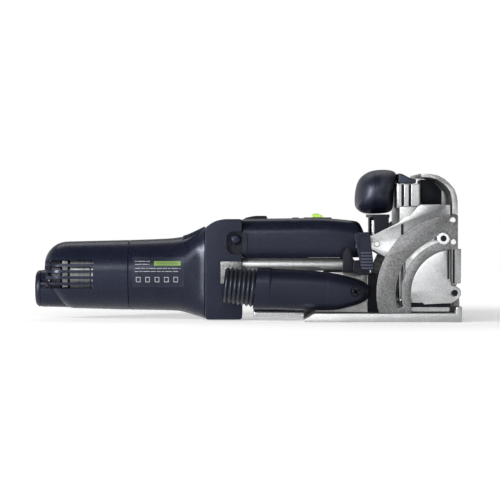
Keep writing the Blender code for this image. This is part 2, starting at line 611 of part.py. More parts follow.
def fence(parent):
    outline = [(WALL_IN, 33.7), (WALL_OUT, 33.7), *ARCH]
    plate = piece("swivel_fence", prism(outline, -HALF_FENCE, HALF_FENCE), "casting", parent)
    join(plate, box((WALL_OUT - 1, -HALF_FENCE + 1, 34.6), (PAD_OUT, HALF_FENCE - 1, 65.9)))
    for side in (-1, 1):
        low, high = mirrored(65.2, 80, side)
        cut(plate, box((180, low, 20), (200, high, 97.6)))
        low, high = mirrored(54, 60.6, side)
        lug = about_pivot(5.6, 180, 360, 10) + [(WALL_OUT, 36), (WALL_IN, 36)]
        lug = [(x, z) for x, z in lug if x < WALL_OUT or z > 30]
        join(plate, prism(lug, low, high))
        low, high = mirrored(50, 68, side)
        cut(plate, rod(3.3, low, high, (PIVOT_X, PIVOT_Z), "y", 16))
    cut(plate, box((180, -25, 30), (200, 25, 62)))

    ring_outline = about_pivot(RING_OUT, 87.4, 194.9, 20)
    tail = PIVOT_Z - 18
    ring_outline[-1] = (ring_outline[-1][0], tail)
    ring_outline += [(149.5, tail), *about_pivot(RING_IN, 193.1, 85.5, 16)]
    first, last = CLAMP_ANGLE - 3.4, CLAMP_ANGLE + 93.4
    slot = about_pivot(SLOT_R + SLOT_HALF, first, last, 18)
    slot += about_pivot(SLOT_R - SLOT_HALF, last, first, 18)
    for name, side in sides_of("fence_quadrant"):
        low, high = mirrored(66, HALF_FENCE, side)
        quadrant = piece(name, prism(ring_outline, low, high), "casting", parent)
        low, high = mirrored(60, 80, side)
        cut(quadrant, prism(slot, low, high))
    insert = [(161.5, 106.2), (161.5, 129.2), (169, 129.2), (174, 126.4), (177.4, 122.8)]
    insert += [(180.4, 119.4), (180.4, 106.2)]
    piece("sight_insert", prism(insert, -24, 24), "black", parent)


def main():
    clear_scene()
    frame_body = body("guide_frame")
    motor_body = body("motor_unit")
    rotor_body = body("rotor", (0, 0, MOTOR_Z))
    arm_body = body("spindle_arm", (0, 0, MOTOR_Z))
    idler_body = body("idler", (0, 0, IDLER_Z))
    spindle_body = body("spindle", (0, 0, SPINDLE_Z))
    carriage_body = body("fence_carriage", (POST_X, 0, 0))
    fence_body = body("swivel_fence", (PIVOT_X, 0, PIVOT_Z))
    bolt_x, bolt_z = about_pivot(SLOT_R, CLAMP_ANGLE, CLAMP_ANGLE, 1)[0]

    base_frame(frame_body)
    frame_fittings(frame_body)
    dust_spout(frame_body)
    depth_stop(frame_body, body("depth_drum", (0, DRUM_Y, DRUM_Z)), motor_body)
    motor_casings(motor_body)
    gear_head(motor_body)
    gear_hood(motor_body)
    controls(motor_body, body("power_switch"), body("width_dial", (DIAL_X, 0, 94)), body("release_button"))
    motor_parts(motor_body, rotor_body)
    spindle_drive(motor_body, rotor_body, arm_body, idler_body, spindle_body)
    carriage(carriage_body)
    handle(carriage_body)
    clamp_levers(
        body("height_lever", (LEVER_X, -70, LEVER_Z)), body("angle_lever", (bolt_x, 72, bolt_z))
    )
    fence(fence_body)


main()
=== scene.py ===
"""How the loose-tenon joiner looks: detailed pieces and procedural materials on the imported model's frame.

+X points forward to the workpiece, +Y to the operator's left and +Z up. Shapes are written in
millimetres, and MM turns them into Blender's metres. The right side is -Y.
"""

import json
import math

import bmesh
import bpy
from mathutils import Matrix, Vector


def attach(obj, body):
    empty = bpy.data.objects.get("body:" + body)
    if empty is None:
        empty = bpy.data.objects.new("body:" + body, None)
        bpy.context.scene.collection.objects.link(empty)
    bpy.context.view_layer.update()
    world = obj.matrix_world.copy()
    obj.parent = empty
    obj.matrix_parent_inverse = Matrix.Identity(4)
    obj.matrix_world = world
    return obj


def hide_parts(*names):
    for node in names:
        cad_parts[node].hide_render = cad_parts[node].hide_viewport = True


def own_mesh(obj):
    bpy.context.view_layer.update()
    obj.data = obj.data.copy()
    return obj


MM = 0.001
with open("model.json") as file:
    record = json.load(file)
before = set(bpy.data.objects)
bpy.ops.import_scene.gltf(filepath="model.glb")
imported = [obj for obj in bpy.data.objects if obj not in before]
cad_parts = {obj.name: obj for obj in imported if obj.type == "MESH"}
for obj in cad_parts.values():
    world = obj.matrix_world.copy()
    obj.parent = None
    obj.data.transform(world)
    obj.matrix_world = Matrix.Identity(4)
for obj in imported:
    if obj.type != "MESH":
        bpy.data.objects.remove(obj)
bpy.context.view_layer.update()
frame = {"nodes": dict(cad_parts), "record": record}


# Node materials. Every one has colour variation, a roughness that isn't even, and its own relief.


class Nodes:
    """A material under construction, with the nodes that most of them share."""

    def __init__(self, name):
        self.material = bpy.data.materials.new(name)
        self.material.use_nodes = True
        self.tree = self.material.node_tree
        self.shader = self.tree.nodes["Principled BSDF"]
        self.place = self.tree.nodes.new("ShaderNodeTexCoord").outputs["Object"]

    def link(self, source, target):
        self.tree.links.new(source, target)

    def stretched(self, scale):
        """Object coordinates, closer together along the axes with the higher scale."""
        node = self.tree.nodes.new("ShaderNodeMapping")
        node.inputs["Scale"].default_value = scale
        self.link(self.place, node.inputs["Vector"])
        return node.outputs["Vector"]

    def noise(self, scale, detail=3.0, where=None, rough=0.55):
        node = self.tree.nodes.new("ShaderNodeTexNoise")
        node.inputs["Scale"].default_value = scale
        node.inputs["Detail"].default_value = detail
        node.inputs["Roughness"].default_value = rough
        self.link(where or self.place, node.inputs["Vector"])
        return node.outputs["Fac"]

    def cells(self, scale):
        node = self.tree.nodes.new("ShaderNodeTexVoronoi")
        node.inputs["Scale"].default_value = scale
        self.link(self.place, node.inputs["Vector"])
        return node.outputs["Distance"]

    def spread(self, value, low, high, start=0.3, end=0.7):
        """A value between start and end, taken to a value between low and high."""
        node = self.tree.nodes.new("ShaderNodeMapRange")
        node.inputs["From Min"].default_value = start
        node.inputs["From Max"].default_value = end
        node.inputs["To Min"].default_value = low
        node.inputs["To Max"].default_value = high
        self.link(value, node.inputs["Value"])
        return node.outputs["Result"]

    def mixed(self, share, first, second):
        node = self.tree.nodes.new("ShaderNodeMix")
        node.data_type = "RGBA"
        self.link(share, node.inputs["Factor"])
        for socket, colour in ((node.inputs["A"], first), (node.inputs["B"], second)):
            if isinstance(colour, tuple):
                socket.default_value = (*colour, 1.0)
            else:
                self.link(colour, socket)
        return node.outputs["Result"]

    def edges(self, low, high):
        """1 on convex edges, where handling wears a surface."""
        node = self.tree.nodes.new("ShaderNodeNewGeometry")
        return self.spread(node.outputs["Pointiness"], 0.0, 1.0, low, high)

    def relief(self, height, depth_mm, strength=1.0, under=None):
        node = self.tree.nodes.new("ShaderNodeBump")
        node.inputs["Distance"].default_value = depth_mm * MM
        node.inputs["Strength"].default_value = strength
        self.link(height, node.inputs["Height"])
        if under:
            self.link(under, node.inputs["Normal"])
        return node.outputs["Normal"]

    def finish(self, colour, roughness, normal, **settings):
        self.link(colour, self.shader.inputs["Base Color"])
        self.link(roughness, self.shader.inputs["Roughness"])
        self.link(normal, self.shader.inputs["Normal"])
        for name, value in settings.items():
            self.shader.inputs[name.replace("_", " ")].default_value = value
        return self.material


COOL_TINT = (0.78, 0.84, 1.0, 1.0)


def shade(colour, factor):
    return tuple(min(1.0, part * factor) for part in colour)


def moulded(name, colour, low, high, grain_mm=0.35, depth_mm=0.02, speck=0.5, **settings):
    """Moulded plastic with a spark-eroded texture, a little rubbed on its edges."""
    n = Nodes(name)
    grain = n.noise(1000 / grain_mm, 3.0, None, 0.65)
    tone = n.mixed(n.spread(n.noise(45), 0, 1), shade(colour, 0.86), shade(colour, 1.14))
    tone = n.mixed(n.spread(grain, speck, 0, 0.36, 0.6), tone, shade(colour, 0.35))
    tone = n.mixed(n.spread(n.edges(0.53, 0.62), 0, 0.45, 0, 1), tone, shade(colour, 2.2))
    roughness = n.spread(n.noise(180, 4), low, high)
    normal = n.relief(grain, depth_mm, 0.55, n.relief(n.noise(120), 0.05, 0.15))
    return n.finish(tone, roughness, normal, Specular_Tint=COOL_TINT, **settings)


def casting(name, colour, low, high, grain_mm=1.5, depth_mm=0.1, pit=0.5):
    """Tumbled die-cast aluminium: cloudy and finely pitted."""
    n = Nodes(name)
    tone = n.mixed(n.spread(n.noise(70, 5), 0, 1), shade(colour, 0.84), shade(colour, 1.08))
    grain = n.noise(1000 / grain_mm, 4.0, None, 0.7)
    tone = n.mixed(n.spread(grain, 0.85, 0, 0.38, 0.6), tone, shade(colour, pit))
    roughness = n.spread(n.noise(260, 5), low, high)
    normal = n.relief(grain, depth_mm, 0.6, n.relief(n.noise(150, 2), 0.12, 0.25))
    return n.finish(tone, roughness, normal, Metallic=1.0)


def machined(name, colour, low, high, along, depth_mm=0.006):
    """Ground or turned metal, with fine lines across the axis that has the high scale."""
    n = Nodes(name)
    lines = n.noise(1.0, 3.0, n.stretched(along))
    tone = n.mixed(n.spread(lines, 0, 1), shade(colour, 0.86), shade(colour, 1.1))
    roughness = n.spread(lines, low, high)
    normal = n.relief(lines, depth_mm, 0.6, n.relief(n.noise(90), 0.03, 0.1))
    return n.finish(tone, roughness, normal, Metallic=1.0)


def rubbery(name, colour, low, high):
    """Soft rubber: a bloom of paler dust over a fine pebble."""
    n = Nodes(name)
    tone = n.mixed(n.spread(n.noise(60, 4), 0, 1), colour, shade(colour, 1.5))
    roughness = n.spread(n.noise(300, 3), low, high)
    normal = n.relief(n.cells(1400), 0.05, 0.5)
    return n.finish(tone, roughness, normal, Sheen_Weight=0.05, Specular_Tint=COOL_TINT)


def laminated(name, colour):
    """A stack of thin sheets, as in a motor's core."""
    n = Nodes(name)
    layers = n.noise(1.0, 1.0, n.stretched((2600, 12, 12)))
    tone = n.mixed(n.spread(layers, 0, 1, 0.4, 0.6), shade(colour, 0.55), colour)
    return n.finish(tone, n.spread(n.noise(200), 0.3, 0.5), n.relief(layers, 0.05), Metallic=0.9)


PLASTIC_BLUE = (0.0075, 0.0087, 0.0175)
SHELL = moulded("moulded_shell", PLASTIC_BLUE, 0.25, 0.33, 0.7, 0.01, 0.1, Specular_IOR_Level=0.28)
HEAD = moulded("moulded_head", shade(PLASTIC_BLUE, 1.3), 0.34, 0.5, 1.4, 0.24, 0.9, Specular_IOR_Level=0.26)
DUCT = moulded("moulded_duct", shade(PLASTIC_BLUE, 0.95), 0.3, 0.42, 1.2, 0.06, Specular_IOR_Level=0.3)
# A lighter copy of the plastic for the lever's ribs: a painted highlight along the rib tops, where the
# light catches them.
RIB_HIGHLIGHT = moulded("ribs_painted_highlight", (0.03, 0.032, 0.045), 0.34, 0.46)
GRIP = moulded("moulded_grip", shade(PLASTIC_BLUE, 1.05), 0.4, 0.5, 0.3, 0.012)
BLACK = moulded("moulded_black", (0.006, 0.006, 0.008), 0.42, 0.55, Specular_IOR_Level=0.22)
GREEN = moulded("moulded_green", (0.33, 0.66, 0.055), 0.3, 0.42, 0.4, 0.01)
SOFT = rubbery("soft_grip_rubber", (0.013, 0.0145, 0.022), 0.5, 0.65)
BELLOWS = rubbery("bellows_rubber", (0.008, 0.009, 0.014), 0.26, 0.38)
CAST = casting("tumbled_casting", (0.46, 0.463, 0.467), 0.30, 0.46, 1.4, 0.1, 0.66)
CAST_DARK = casting("quadrant_casting", (0.25, 0.252, 0.255), 0.34, 0.52, 1.8, 0.4, 0.4)
CAST_BRIGHT = casting("machined_casting", (0.55, 0.555, 0.56), 0.3, 0.44, 1.2, 0.04, 0.72)
ROD = machined("ground_rod", (0.5, 0.51, 0.51), 0.44, 0.52, (2600, 15, 15), 0.001)
POST = machined("ground_post", (0.75, 0.76, 0.77), 0.18, 0.28, (8, 8, 500), 0.001)
STEEL = machined("plain_steel", (0.55, 0.55, 0.56), 0.24, 0.36, (1800, 1800, 60), 0.002)
SPRING = machined("drawn_spring", (0.42, 0.42, 0.43), 0.3, 0.42, (300, 60, 300))
SCREW = machined("zinc_screw", (0.70, 0.71, 0.72), 0.2, 0.34, (300, 60, 300))
COPPER = machined("drawn_copper", (0.72, 0.33, 0.16), 0.25, 0.4, (40, 600, 600))
CARBIDE = machined("carbide_cutter", (0.55, 0.55, 0.57), 0.18, 0.3, (900, 40, 40))
CORE = laminated("motor_laminations", (0.24, 0.245, 0.25))
LABEL = moulded("label_film", (0.012, 0.0135, 0.022), 0.26, 0.34, 0.6, 0.004, 0.1, Specular_IOR_Level=0.27)
GREEN_PRINT = moulded("label_green", (0.085, 0.145, 0.02), 0.35, 0.5, 0.6, 0.004)
PRINT = moulded("label_print", (0.2, 0.21, 0.23), 0.35, 0.5, 0.6, 0.004)


# Shapes: each returns (points, faces), in millimetres


def placed(axis, along, across, up):
    return {"x": (along, across, up), "y": (across, along, up), "z": (across, up, along)}[axis]


def prism(outline, low, high, axis="y"):
    count = len(outline)
    points = [placed(axis, end, u, v) for end in (low, high) for u, v in outline]
    sides = [(i, (i + 1) % count, count + (i + 1) % count, count + i) for i in range(count)]
    return points, sides + [tuple(range(count)), tuple(range(count, 2 * count))]


def upright(x0, x1, z0, z1):
    """A rectangle's outline, seen from the tool's side."""
    return [(x0, z0), (x1, z0), (x1, z1), (x0, z1)]


def box(low, high):
    (x0, y0, z0), (x1, y1, z1) = low, high
    return prism(upright(x0, x1, z0, z1), y0, y1)


def turned(profile, centre, axis="x", sides=64):
    """A profile of (along, radius) swept round an axis, open or closed as in a lathe."""
    points, rings = [], []
    for along, radius in profile:
        ring = []
        for k in range(sides if radius > 0 else 1):
            turn = 2 * math.pi * (k + 0.5) / sides
            ring.append(len(points))
            across = centre[0] + radius * math.cos(turn)
            up = centre[1] + radius * math.sin(turn)
            points.append(placed(axis, along, across, up))
        rings.append(ring)
    pairs = list(zip(rings, rings[1:]))
    if profile[0][1] > 0:
        pairs.append((rings[-1], rings[0]))
    faces = []
    for first, second in pairs:
        for k in range(sides):
            after = (k + 1) % sides
            quad = [first[k % len(first)], first[after % len(first)]]
            quad += [second[after % len(second)], second[k % len(second)]]
            faces.append(tuple(dict.fromkeys(quad)))
    return points, faces


def rod(radius, low, high, centre, axis="x", sides=48):
    return turned([(low, 0), (low, radius), (high, radius), (high, 0)], centre, axis, sides)


def lofted(sections, loop=False):
    """Closed sections of equal length, joined in order, and capped or joined end to end."""
    count = len(sections[0])
    points = [point for section in sections for point in section]
    total = len(sections)
    faces = []
    if not loop:
        faces += [tuple(range(count)), tuple(range(len(points) - count, len(points)))]
    for s in range(total if loop else total - 1):
        following = (s + 1) % total
        for k in range(count):
            after = (k + 1) % count
            near, far = s * count, following * count
            faces.append((near + k, near + after, far + after, far + k))
    return points, faces


def oval(half_y, half_z, centre_y, centre_z, power=2.0, sides=96):
    made = []
    for k in range(sides):
        turn = 2 * math.pi * (k + 0.5) / sides
        c, s = math.cos(turn), math.sin(turn)
        y = half_y * math.copysign(abs(c) ** (2 / power), c)
        z = half_z * math.copysign(abs(s) ** (2 / power), s)
        made.append((centre_y + y, centre_z + z))
    return made


def arc(radius, start, end, steps, centre=(0.0, 0.0)):
    turns = [math.radians(start + (end - start) * k / steps) for k in range(steps + 1)]
    return [(centre[0] + radius * math.cos(t), centre[1] + radius * math.sin(t)) for t in turns]


def eased(stations, x):
    """A value between (place, value) stations on a curve that never overshoots them."""
    places = [p for p, _ in stations]
    values = [v for _, v in stations]
    if x <= places[0]:
        return values[0]
    if x >= places[-1]:
        return values[-1]
    i = max(k for k in range(len(places) - 1) if places[k] <= x)
    gaps = [b - a for a, b in zip(places, places[1:])]
    slopes = [(values[k + 1] - values[k]) / gaps[k] for k in range(len(gaps))]

    def tangent(k):
        if k == 0:
            return slopes[0]
        if k == len(slopes):
            return slopes[-1]
        before, after = slopes[k - 1], slopes[k]
        return 0.0 if before * after <= 0 else 2 * before * after / (before + after)

    t = (x - places[i]) / gaps[i]
    a, b = values[i], values[i + 1]
    m0, m1 = tangent(i) * gaps[i], tangent(i + 1) * gaps[i]
    start = (2 * t**3 - 3 * t**2 + 1) * a + (t**3 - 2 * t**2 + t) * m0
    return start + (3 * t**2 - 2 * t**3) * b + (t**3 - t**2) * m1


def steps_between(low, high, count):
    return [low + (high - low) * k / count for k in range(count + 1)]


def rounded_outline(points, radius, steps=4):
    """An outline with each corner replaced by a curve."""
    made = []
    for i, corner in enumerate(points):
        here = Vector(corner)
        before, after = Vector(points[i - 1]), Vector(points[(i + 1) % len(points)])
        reach = min(radius, (before - here).length * 0.45, (after - here).length * 0.45)
        start = here + (before - here).normalized() * reach
        end = here + (after - here).normalized() * reach
        for k in range(steps + 1):
            t = k / steps
            made.append(tuple((1 - t) ** 2 * start + 2 * t * (1 - t) * here + t**2 * end))
    return made


# Pieces


def tag(side):
    return "left" if side > 0 else "right"


def smooth(mesh, sharp):
    """Smooth faces, with edges left sharp where they turn by more than the angle in degrees."""
    mesh.shade_smooth()
    mesh.set_sharp_from_angle(angle=math.radians(sharp))


def mesh_piece(name, shape, material, sharp=32.0):
    points, faces = shape
    mesh = bpy.data.meshes.new(name)
    mesh.from_pydata([Vector(p) * MM for p in points], [], faces)
    work = bmesh.new()
    work.from_mesh(mesh)
    bmesh.ops.recalc_face_normals(work, faces=work.faces)
    work.to_mesh(mesh)
    work.free()
    smooth(mesh, sharp)
    mesh.materials.append(material)
    obj = bpy.data.objects.new(name, mesh)
    bpy.context.scene.collection.objects.link(obj)
    return obj


def bevelled(obj, width_mm, segments=2, angle=30.0):
    modifier = obj.modifiers.new("eased_edges", "BEVEL")
    modifier.width = width_mm * MM
    modifier.segments = segments
    modifier.limit_method = "ANGLE"
    modifier.angle_limit = math.radians(angle)
    modifier.harden_normals = False
    return obj


def carve(obj, shape, operation="DIFFERENCE"):
    """A Boolean that is applied at once, so that no helper is left in the scene."""
    helper = mesh_piece("helper", shape, BLACK)
    modifier = obj.modifiers.new("boolean", "BOOLEAN")
    modifier.operation = operation
    modifier.object = helper
    bake(obj)
    bpy.data.objects.remove(helper, do_unlink=True)
    return obj


def bake(obj, sharp=32.0):
    """The object's modifiers made part of its mesh."""
    graph = bpy.context.evaluated_depsgraph_get()
    mesh = bpy.data.meshes.new_from_object(obj.evaluated_get(graph))
    obj.modifiers.clear()
    obj.data = mesh
    smooth(mesh, sharp)
    return obj


def mirror_across(obj):
    """The piece's mirror image on the tool's other side."""
    obj.data.transform(Matrix.Diagonal((1, -1, 1, 1)))
    obj.data.flip_normals()


def place(obj, body, slot, *nodes):
    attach(obj, body)
    if nodes:
        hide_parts(*nodes)
    return obj


def refined(node, body, slot, material, edge_mm):
    """The CAD solid with eased edges: its corners are welded, flat faces joined, and edges bevelled."""
    work = bmesh.new()
    work.from_mesh(frame["nodes"][node].data)
    bmesh.ops.remove_doubles(work, verts=work.verts, dist=2e-6)
    bmesh.ops.dissolve_limit(work, angle_limit=math.radians(1.0), verts=work.verts, edges=work.edges)
    mesh = bpy.data.meshes.new(node + "_finished")
    work.to_mesh(mesh)
    work.free()
    mesh.materials.append(material)
    obj = bpy.data.objects.new(mesh.name, mesh)
    bpy.context.scene.collection.objects.link(obj)
    smooth(mesh, 28)
    bake(bevelled(obj, edge_mm))
    place(obj, body, slot, node)


MOTOR_Z, MOTOR_R = 41.0, 32.4
INLET_Z = 28.4
BARREL_REAR, BARREL_FRONT = -107.7, -37.3
# The barrel's top, underside, half width and squareness, each as (X, value)
FLARE_TOP = (
    (BARREL_REAR, 73.4), (-90, 74.0), (-70.3, 74.9), (-60, 76.2), (-54.8, 77.2), (-47, 80.3),
    (BARREL_FRONT, 85.6),
)  # fmt: skip
FLARE_BOTTOM = (
    (BARREL_REAR, 8.6), (-82.7, 8.2), (-62.6, 7.5), (-54.8, 5.9), (-47, 3.6), (BARREL_FRONT, 0.9),
)  # fmt: skip
FLARE_HALF = (
    (BARREL_REAR, MOTOR_R), (-60, MOTOR_R), (-50, 32.6), (-45, 33.0), (-41, 33.9), (-38.6, 34.9),
    (BARREL_FRONT, 35.3),
)  # fmt: skip
FLARE_POWER = ((BARREL_REAR, 2.0), (-75, 2.0), (-55, 2.5), (-45, 3.4), (BARREL_FRONT, 5.0))


def barrel_section(x, inset):
    top, bottom = eased(FLARE_TOP, x) - inset, eased(FLARE_BOTTOM, x) + inset
    half = eased(FLARE_HALF, x) - inset
    outline = oval(half, (top - bottom) / 2, 0, (top + bottom) / 2, eased(FLARE_POWER, x))
    return [(x, y, z) for y, z in outline]


def barrel():
    """The motor's barrel, which flares out to the gear head."""
    outside = [barrel_section(x, 0) for x in steps_between(-107.2, -37.8, 44)]
    rims = [barrel_section(BARREL_REAR, 0.5), *outside, barrel_section(BARREL_FRONT, 0.5)]
    inside = [barrel_section(x, 3.0) for x in steps_between(BARREL_FRONT, BARREL_REAR, 12)]
    shell = mesh_piece("barrel_shell", lofted(rims + inside, loop=True), SHELL)
    place(shell, "motor_unit", "dark_plastic", "motor_housing")


def barrel_ribs():
    """Low ribs that run up the flare's top to the gear head."""
    for k, y in enumerate((-21, -14, -7, 0, 7, 14, 21)):
        points = []
        for x in steps_between(-58, -38.2, 14):
            top, bottom = eased(FLARE_TOP, x), eased(FLARE_BOTTOM, x)
            half, power = eased(FLARE_HALF, x), eased(FLARE_POWER, x)
            middle = (top + bottom) / 2
            z = middle + (top - middle) * (1 - abs(y / half) ** power) ** (1 / power)
            points.append((x, y, z + 0.55 * math.sin(math.pi * (x + 58) / 20.5)))
        sections = [[(x, y + dy, z + dz) for dy, dz in arc(0.9, 0, 330, 11)] for x, y, z in points]
        rib = mesh_piece(f"barrel_rib_{k}", lofted(sections), HEAD)
        place(rib, "motor_unit", "dark_plastic")


def cap_shear(x, z):
    """How far the cap's rear is drawn forward below the motor's axis."""
    return 0.42 * max(0.0, MOTOR_Z - 6 - z) * min(1.0, max(0.0, (-150 - x) / 30))


def rear_cap():
    """The slotted cap over the motor's rear, with the boot that holds the inlet."""
    outside = [
        (-186, 13), (-185.8, 15.4), (-185.1, 17.6), (-184, 19.9), (-182.4, 22.3), (-180.3, 24.7),
        (-178, 26.8), (-175, 28.7), (-171.5, 30.1), (-167.5, 30.85), (-163, 31.1),
        (-108.5, MOTOR_R), (-108.0, MOTOR_R - 0.4),
    ]  # fmt: skip
    inside = [
        (-108, 29.2), (-166, 27.8), (-174, 25.4), (-180, 20), (-182.5, 14), (-182.5, 9.2), (-186, 9.2),
    ]  # fmt: skip
    points, faces = turned(outside + inside, (0, MOTOR_Z), "x", 96)
    points = [(x + cap_shear(x, z), y, z) for x, y, z in points]
    cap = mesh_piece("cap_shell", (points, faces), SHELL)
    boot = [(-189.6, 14.6), (-189.6, 16.7), (-189.1, 17.2)]
    boot += [(x, 17.2 + 0.9 * ((x + 189.1) / 34.0) ** 2) for x in steps_between(-186, -155, 12)]
    boot += [(-155, 14.6)]
    carve(cap, turned(boot, (0, INLET_Z), "x", 96), "UNION")
    carve(cap, rod(14.55, -200, -183.4, (0, INLET_Z), "x", 64))
    carve(cap, rod(20.5, -180.5, -150, (0, MOTOR_Z), "x", 64))
    slot = rounded_outline([(-192, -1.6), (-139.8, -1.6), (-139.8, 1.6), (-192, 1.6)], 1.2)
    for k in range(-2, 3):
        z = 42 + 5.7 * k
        outline = [(x, z + dz) for x, dz in slot]
        carve(cap, prism(outline, -40, -12))
        carve(cap, prism(outline, 12, 40))
    bake(cap, 38)
    place(cap, "motor_unit", "dark_plastic", "rear_cap")
    for side in (-1, 1):
        bar = mesh_piece("cap_bar_" + tag(side), box((-168.5, 23.4, 30), (-163.5, 25.0, 54.5)), CORE)
        if side < 0:
            mirror_across(bar)
        place(bevelled(bar, 0.3), "motor_unit", "dark_plastic")


def liners():
    """What shows through the cooling slots: the dark brush bridge, a black sleeve that is painted shade
    where the motor's inside would show, and the field's steel ring.
    """
    bridge = [(-180, 17.6), (-178, 21.5), (-170.5, 24.4), (-170.5, 12), (-180, 12)]
    # The sleeve is painted shade: a black ring where only the motor's shaded inside would show through the
    # slots.
    sleeve = [(-170.4, 23.3), (-161.6, 23.3), (-161.6, 22.9), (-170.4, 22.9)]
    field = [(-161.5, 27.0), (-142.6, 27.0), (-142.6, 23.5), (-161.5, 23.5)]
    for name, profile, material, slot in (
        ("brush_bridge", bridge, BLACK, "dark_plastic"),
        ("slot_shade_sleeve", sleeve, BLACK, "dark_plastic"),
        ("field_ring", field, CORE, "bright_steel"),
    ):
        ring = mesh_piece(name, turned(profile, (0, MOTOR_Z), "x", 64), material)
        place(ring, "motor_unit", slot)


def inlet():
    """The power inlet: a socket with a dark lining, two pins and a key."""
    profile = [
        (-185, 0), (-185, 14.2), (-189.9, 14.2), (-189.9, 16.6), (-190.3, 16.9), (-191.6, 16.85),
        (-193, 16.2), (-194.2, 15.0), (-194.9, 13.2), (-195, 11.8), (-195, 9.4), (-194.6, 9),
        (-188.6, 9), (-188.6, 0),
    ]  # fmt: skip
    socket = mesh_piece("inlet_socket", turned(profile, (0, INLET_Z), "x", 96), DUCT)
    place(socket, "motor_unit", "dark_plastic", "power_inlet")
    cup = [(-189.0, 0), (-188.5, 0), (-188.5, 8.9), (-194.4, 8.9), (-194.4, 8.3), (-189.0, 8.3)]
    lining = mesh_piece("inlet_lining", turned(cup, (0, INLET_Z), "x", 64), BLACK)
    place(lining, "motor_unit", "dark_plastic")
    profile = [(-188.5, 0), (-188.5, 1.4), (-193.0, 1.4), (-193.5, 0.9), (-193.5, 0)]
    for side in (-1, 1):
        pin = mesh_piece("inlet_pin_" + tag(side), turned(profile, (side * 4, INLET_Z), "x", 24), SCREW)
        place(pin, "motor_unit", "bright_steel")
    key = mesh_piece("inlet_key", box((-194.6, -1.5, 34.4), (-189, 1.5, 36.9)), BLACK)
    place(bevelled(key, 0.3), "motor_unit", "dark_plastic")


GUIDE_Y, GUIDE_Z = 27, 50.8  # the guide columns' axes
RELEASE = (-8.9, 74.3)  # the release button's axis, as X and Z
RECESS = rounded_outline([(-17.2, 60.6), (2, 60.6), (2, 81.6), (-17.2, 81.6)], 7.5, 8)


def gear_head():
    """The head's casing, with its pockets cut after its edges are rounded."""
    outline = [(-37, 0.8), (-3, 0.8), (-3, 92.8), (-21, 92.8), (-28.5, 90.9), (-37, 85.2)]
    head = mesh_piece("head_casing", prism(rounded_outline(outline, 3.0, 3), -35, 35), HEAD)
    bevelled(head, 0.9, 3, 60)
    bake(head)
    carve(head, box((-29, -16, 5), (0, 16, 84)))
    carve(head, rod(9.3, -40, -25, (0, MOTOR_Z)))
    for side in (-1, 1):
        carve(head, rod(5.8, -23.3, 5, (side * GUIDE_Y, GUIDE_Z)))
        low, high = (33.3, 40) if side > 0 else (-40, -33.3)
        pocket = rounded_outline([(-23.3, 33.4), (5, 33.4), (5, 54.6), (-23.3, 54.6)], 2.0)
        carve(head, prism(pocket, low, high))
    carve(head, prism(RECESS, -40, -30.6))
    button_hole = rod(4.9, -33, -24, RELEASE, "y")
    carve(head, button_hole)
    place(bake(head, 35), "motor_unit", "dark_plastic", "gear_head")
    # A black sheet on the recess floor is painted shade: it darkens the recess where shade falls.
    inner = [(x * 0.96 - 0.3, z * 0.99 + 0.7) for x, z in RECESS]
    floor = mesh_piece("recess_painted_shade", prism(inner, -31.2, -29.5), BLACK)
    carve(floor, button_hole)
    place(bake(floor), "motor_unit", "dark_plastic")


def thumb_ribs():
    """Short ribs over both rear shoulders of the head."""
    round_wire = arc(0.45, 0, 330, 11)
    for side in (-1, 1):
        for k in range(8):
            x = -35.4 + 14.2 * k / 7
            z = eased(((-37, 85.2), (-28.5, 90.6), (-21, 92.5)), x) - 0.2
            path = [(x + 1.0, 29.5, z), (x, 33.8, z - 0.75)]
            path += [(x - 0.9, 34.8, z - 2.5), (x - 1.7, 34.8, z - 4.6)]
            sections = [[(a + da, side * b, c + dc) for da, dc in round_wire] for a, b, c in path]
            rib = mesh_piece(f"thumb_rib_{k}_{tag(side)}", lofted(sections), HEAD)
            place(rib, "motor_unit", "dark_plastic")


HOOD_TOP = (
    (-2.7, 93.0), (42, 93.6), (64.6, 93.9), (78, 93.4), (92, 92.2), (101.5, 91.0), (104.8, 89.2),
    (109, 81.5),
)  # fmt: skip
HOOD_BOTTOM = 57.6
DIAL_X = 67


def hood_section(x, inset, bottom, corner):
    top = eased(HOOD_TOP, x) - inset
    half = 34.0 - inset - 0.9 * max(0.0, (x - 60) / 49) ** 2
    radius = corner - inset * 0.5
    shoulder = arc(radius, 4, 90, 8, (half - 1.6 - radius, top - radius))
    rise = top - radius - bottom
    shares = (0, 0.12, 0.25, 0.4, 0.55, 0.7, 0.85)
    flank = [(half - 3.0 * (1 - t) ** 3 - 1.6 * t**2, bottom + rise * t) for t in shares]
    right = flank + shoulder
    left = [(-y, z) for y, z in reversed(right)]
    return [(x, y, z) for y, z in right + left]


def gear_hood():
    """The shell over the plunging gear train, open underneath."""
    stations = steps_between(-2.2, 98, 22) + steps_between(99.5, 108.4, 8)
    outside = [hood_section(x, 0, HOOD_BOTTOM, 15) for x in stations]
    rims = [hood_section(-2.7, 0.5, HOOD_BOTTOM, 15), *outside, hood_section(109, 0.6, HOOD_BOTTOM, 13)]
    hood = mesh_piece("hood_shell", lofted(rims), SHELL)
    inside = [hood_section(x, 2.6, HOOD_BOTTOM - 4, 13) for x in (-2.7, 20, 42, 60, 78, 92, 100, 104)]
    inside[0] = [(-6, y, z) for _, y, z in inside[0]]
    carve(hood, lofted(inside))
    carve(hood, rod(13.4, 92.2, 99, (DIAL_X, 0), "z", 64))
    switch_hole = rounded_outline([(-1.2, -8.6), (25.8, -8.6), (25.8, 8.6), (-1.2, 8.6)], 1.5)
    carve(hood, prism(switch_hole, 91.5, 99, "z"))
    notch = rounded_outline([(-6, 61.5), (2.2, 61.5), (2.2, 81), (-6, 81)], 1.4)
    carve(hood, prism(notch, -40, -32.6))
    place(bake(hood, 30), "motor_unit", "dark_plastic", "gear_hood")


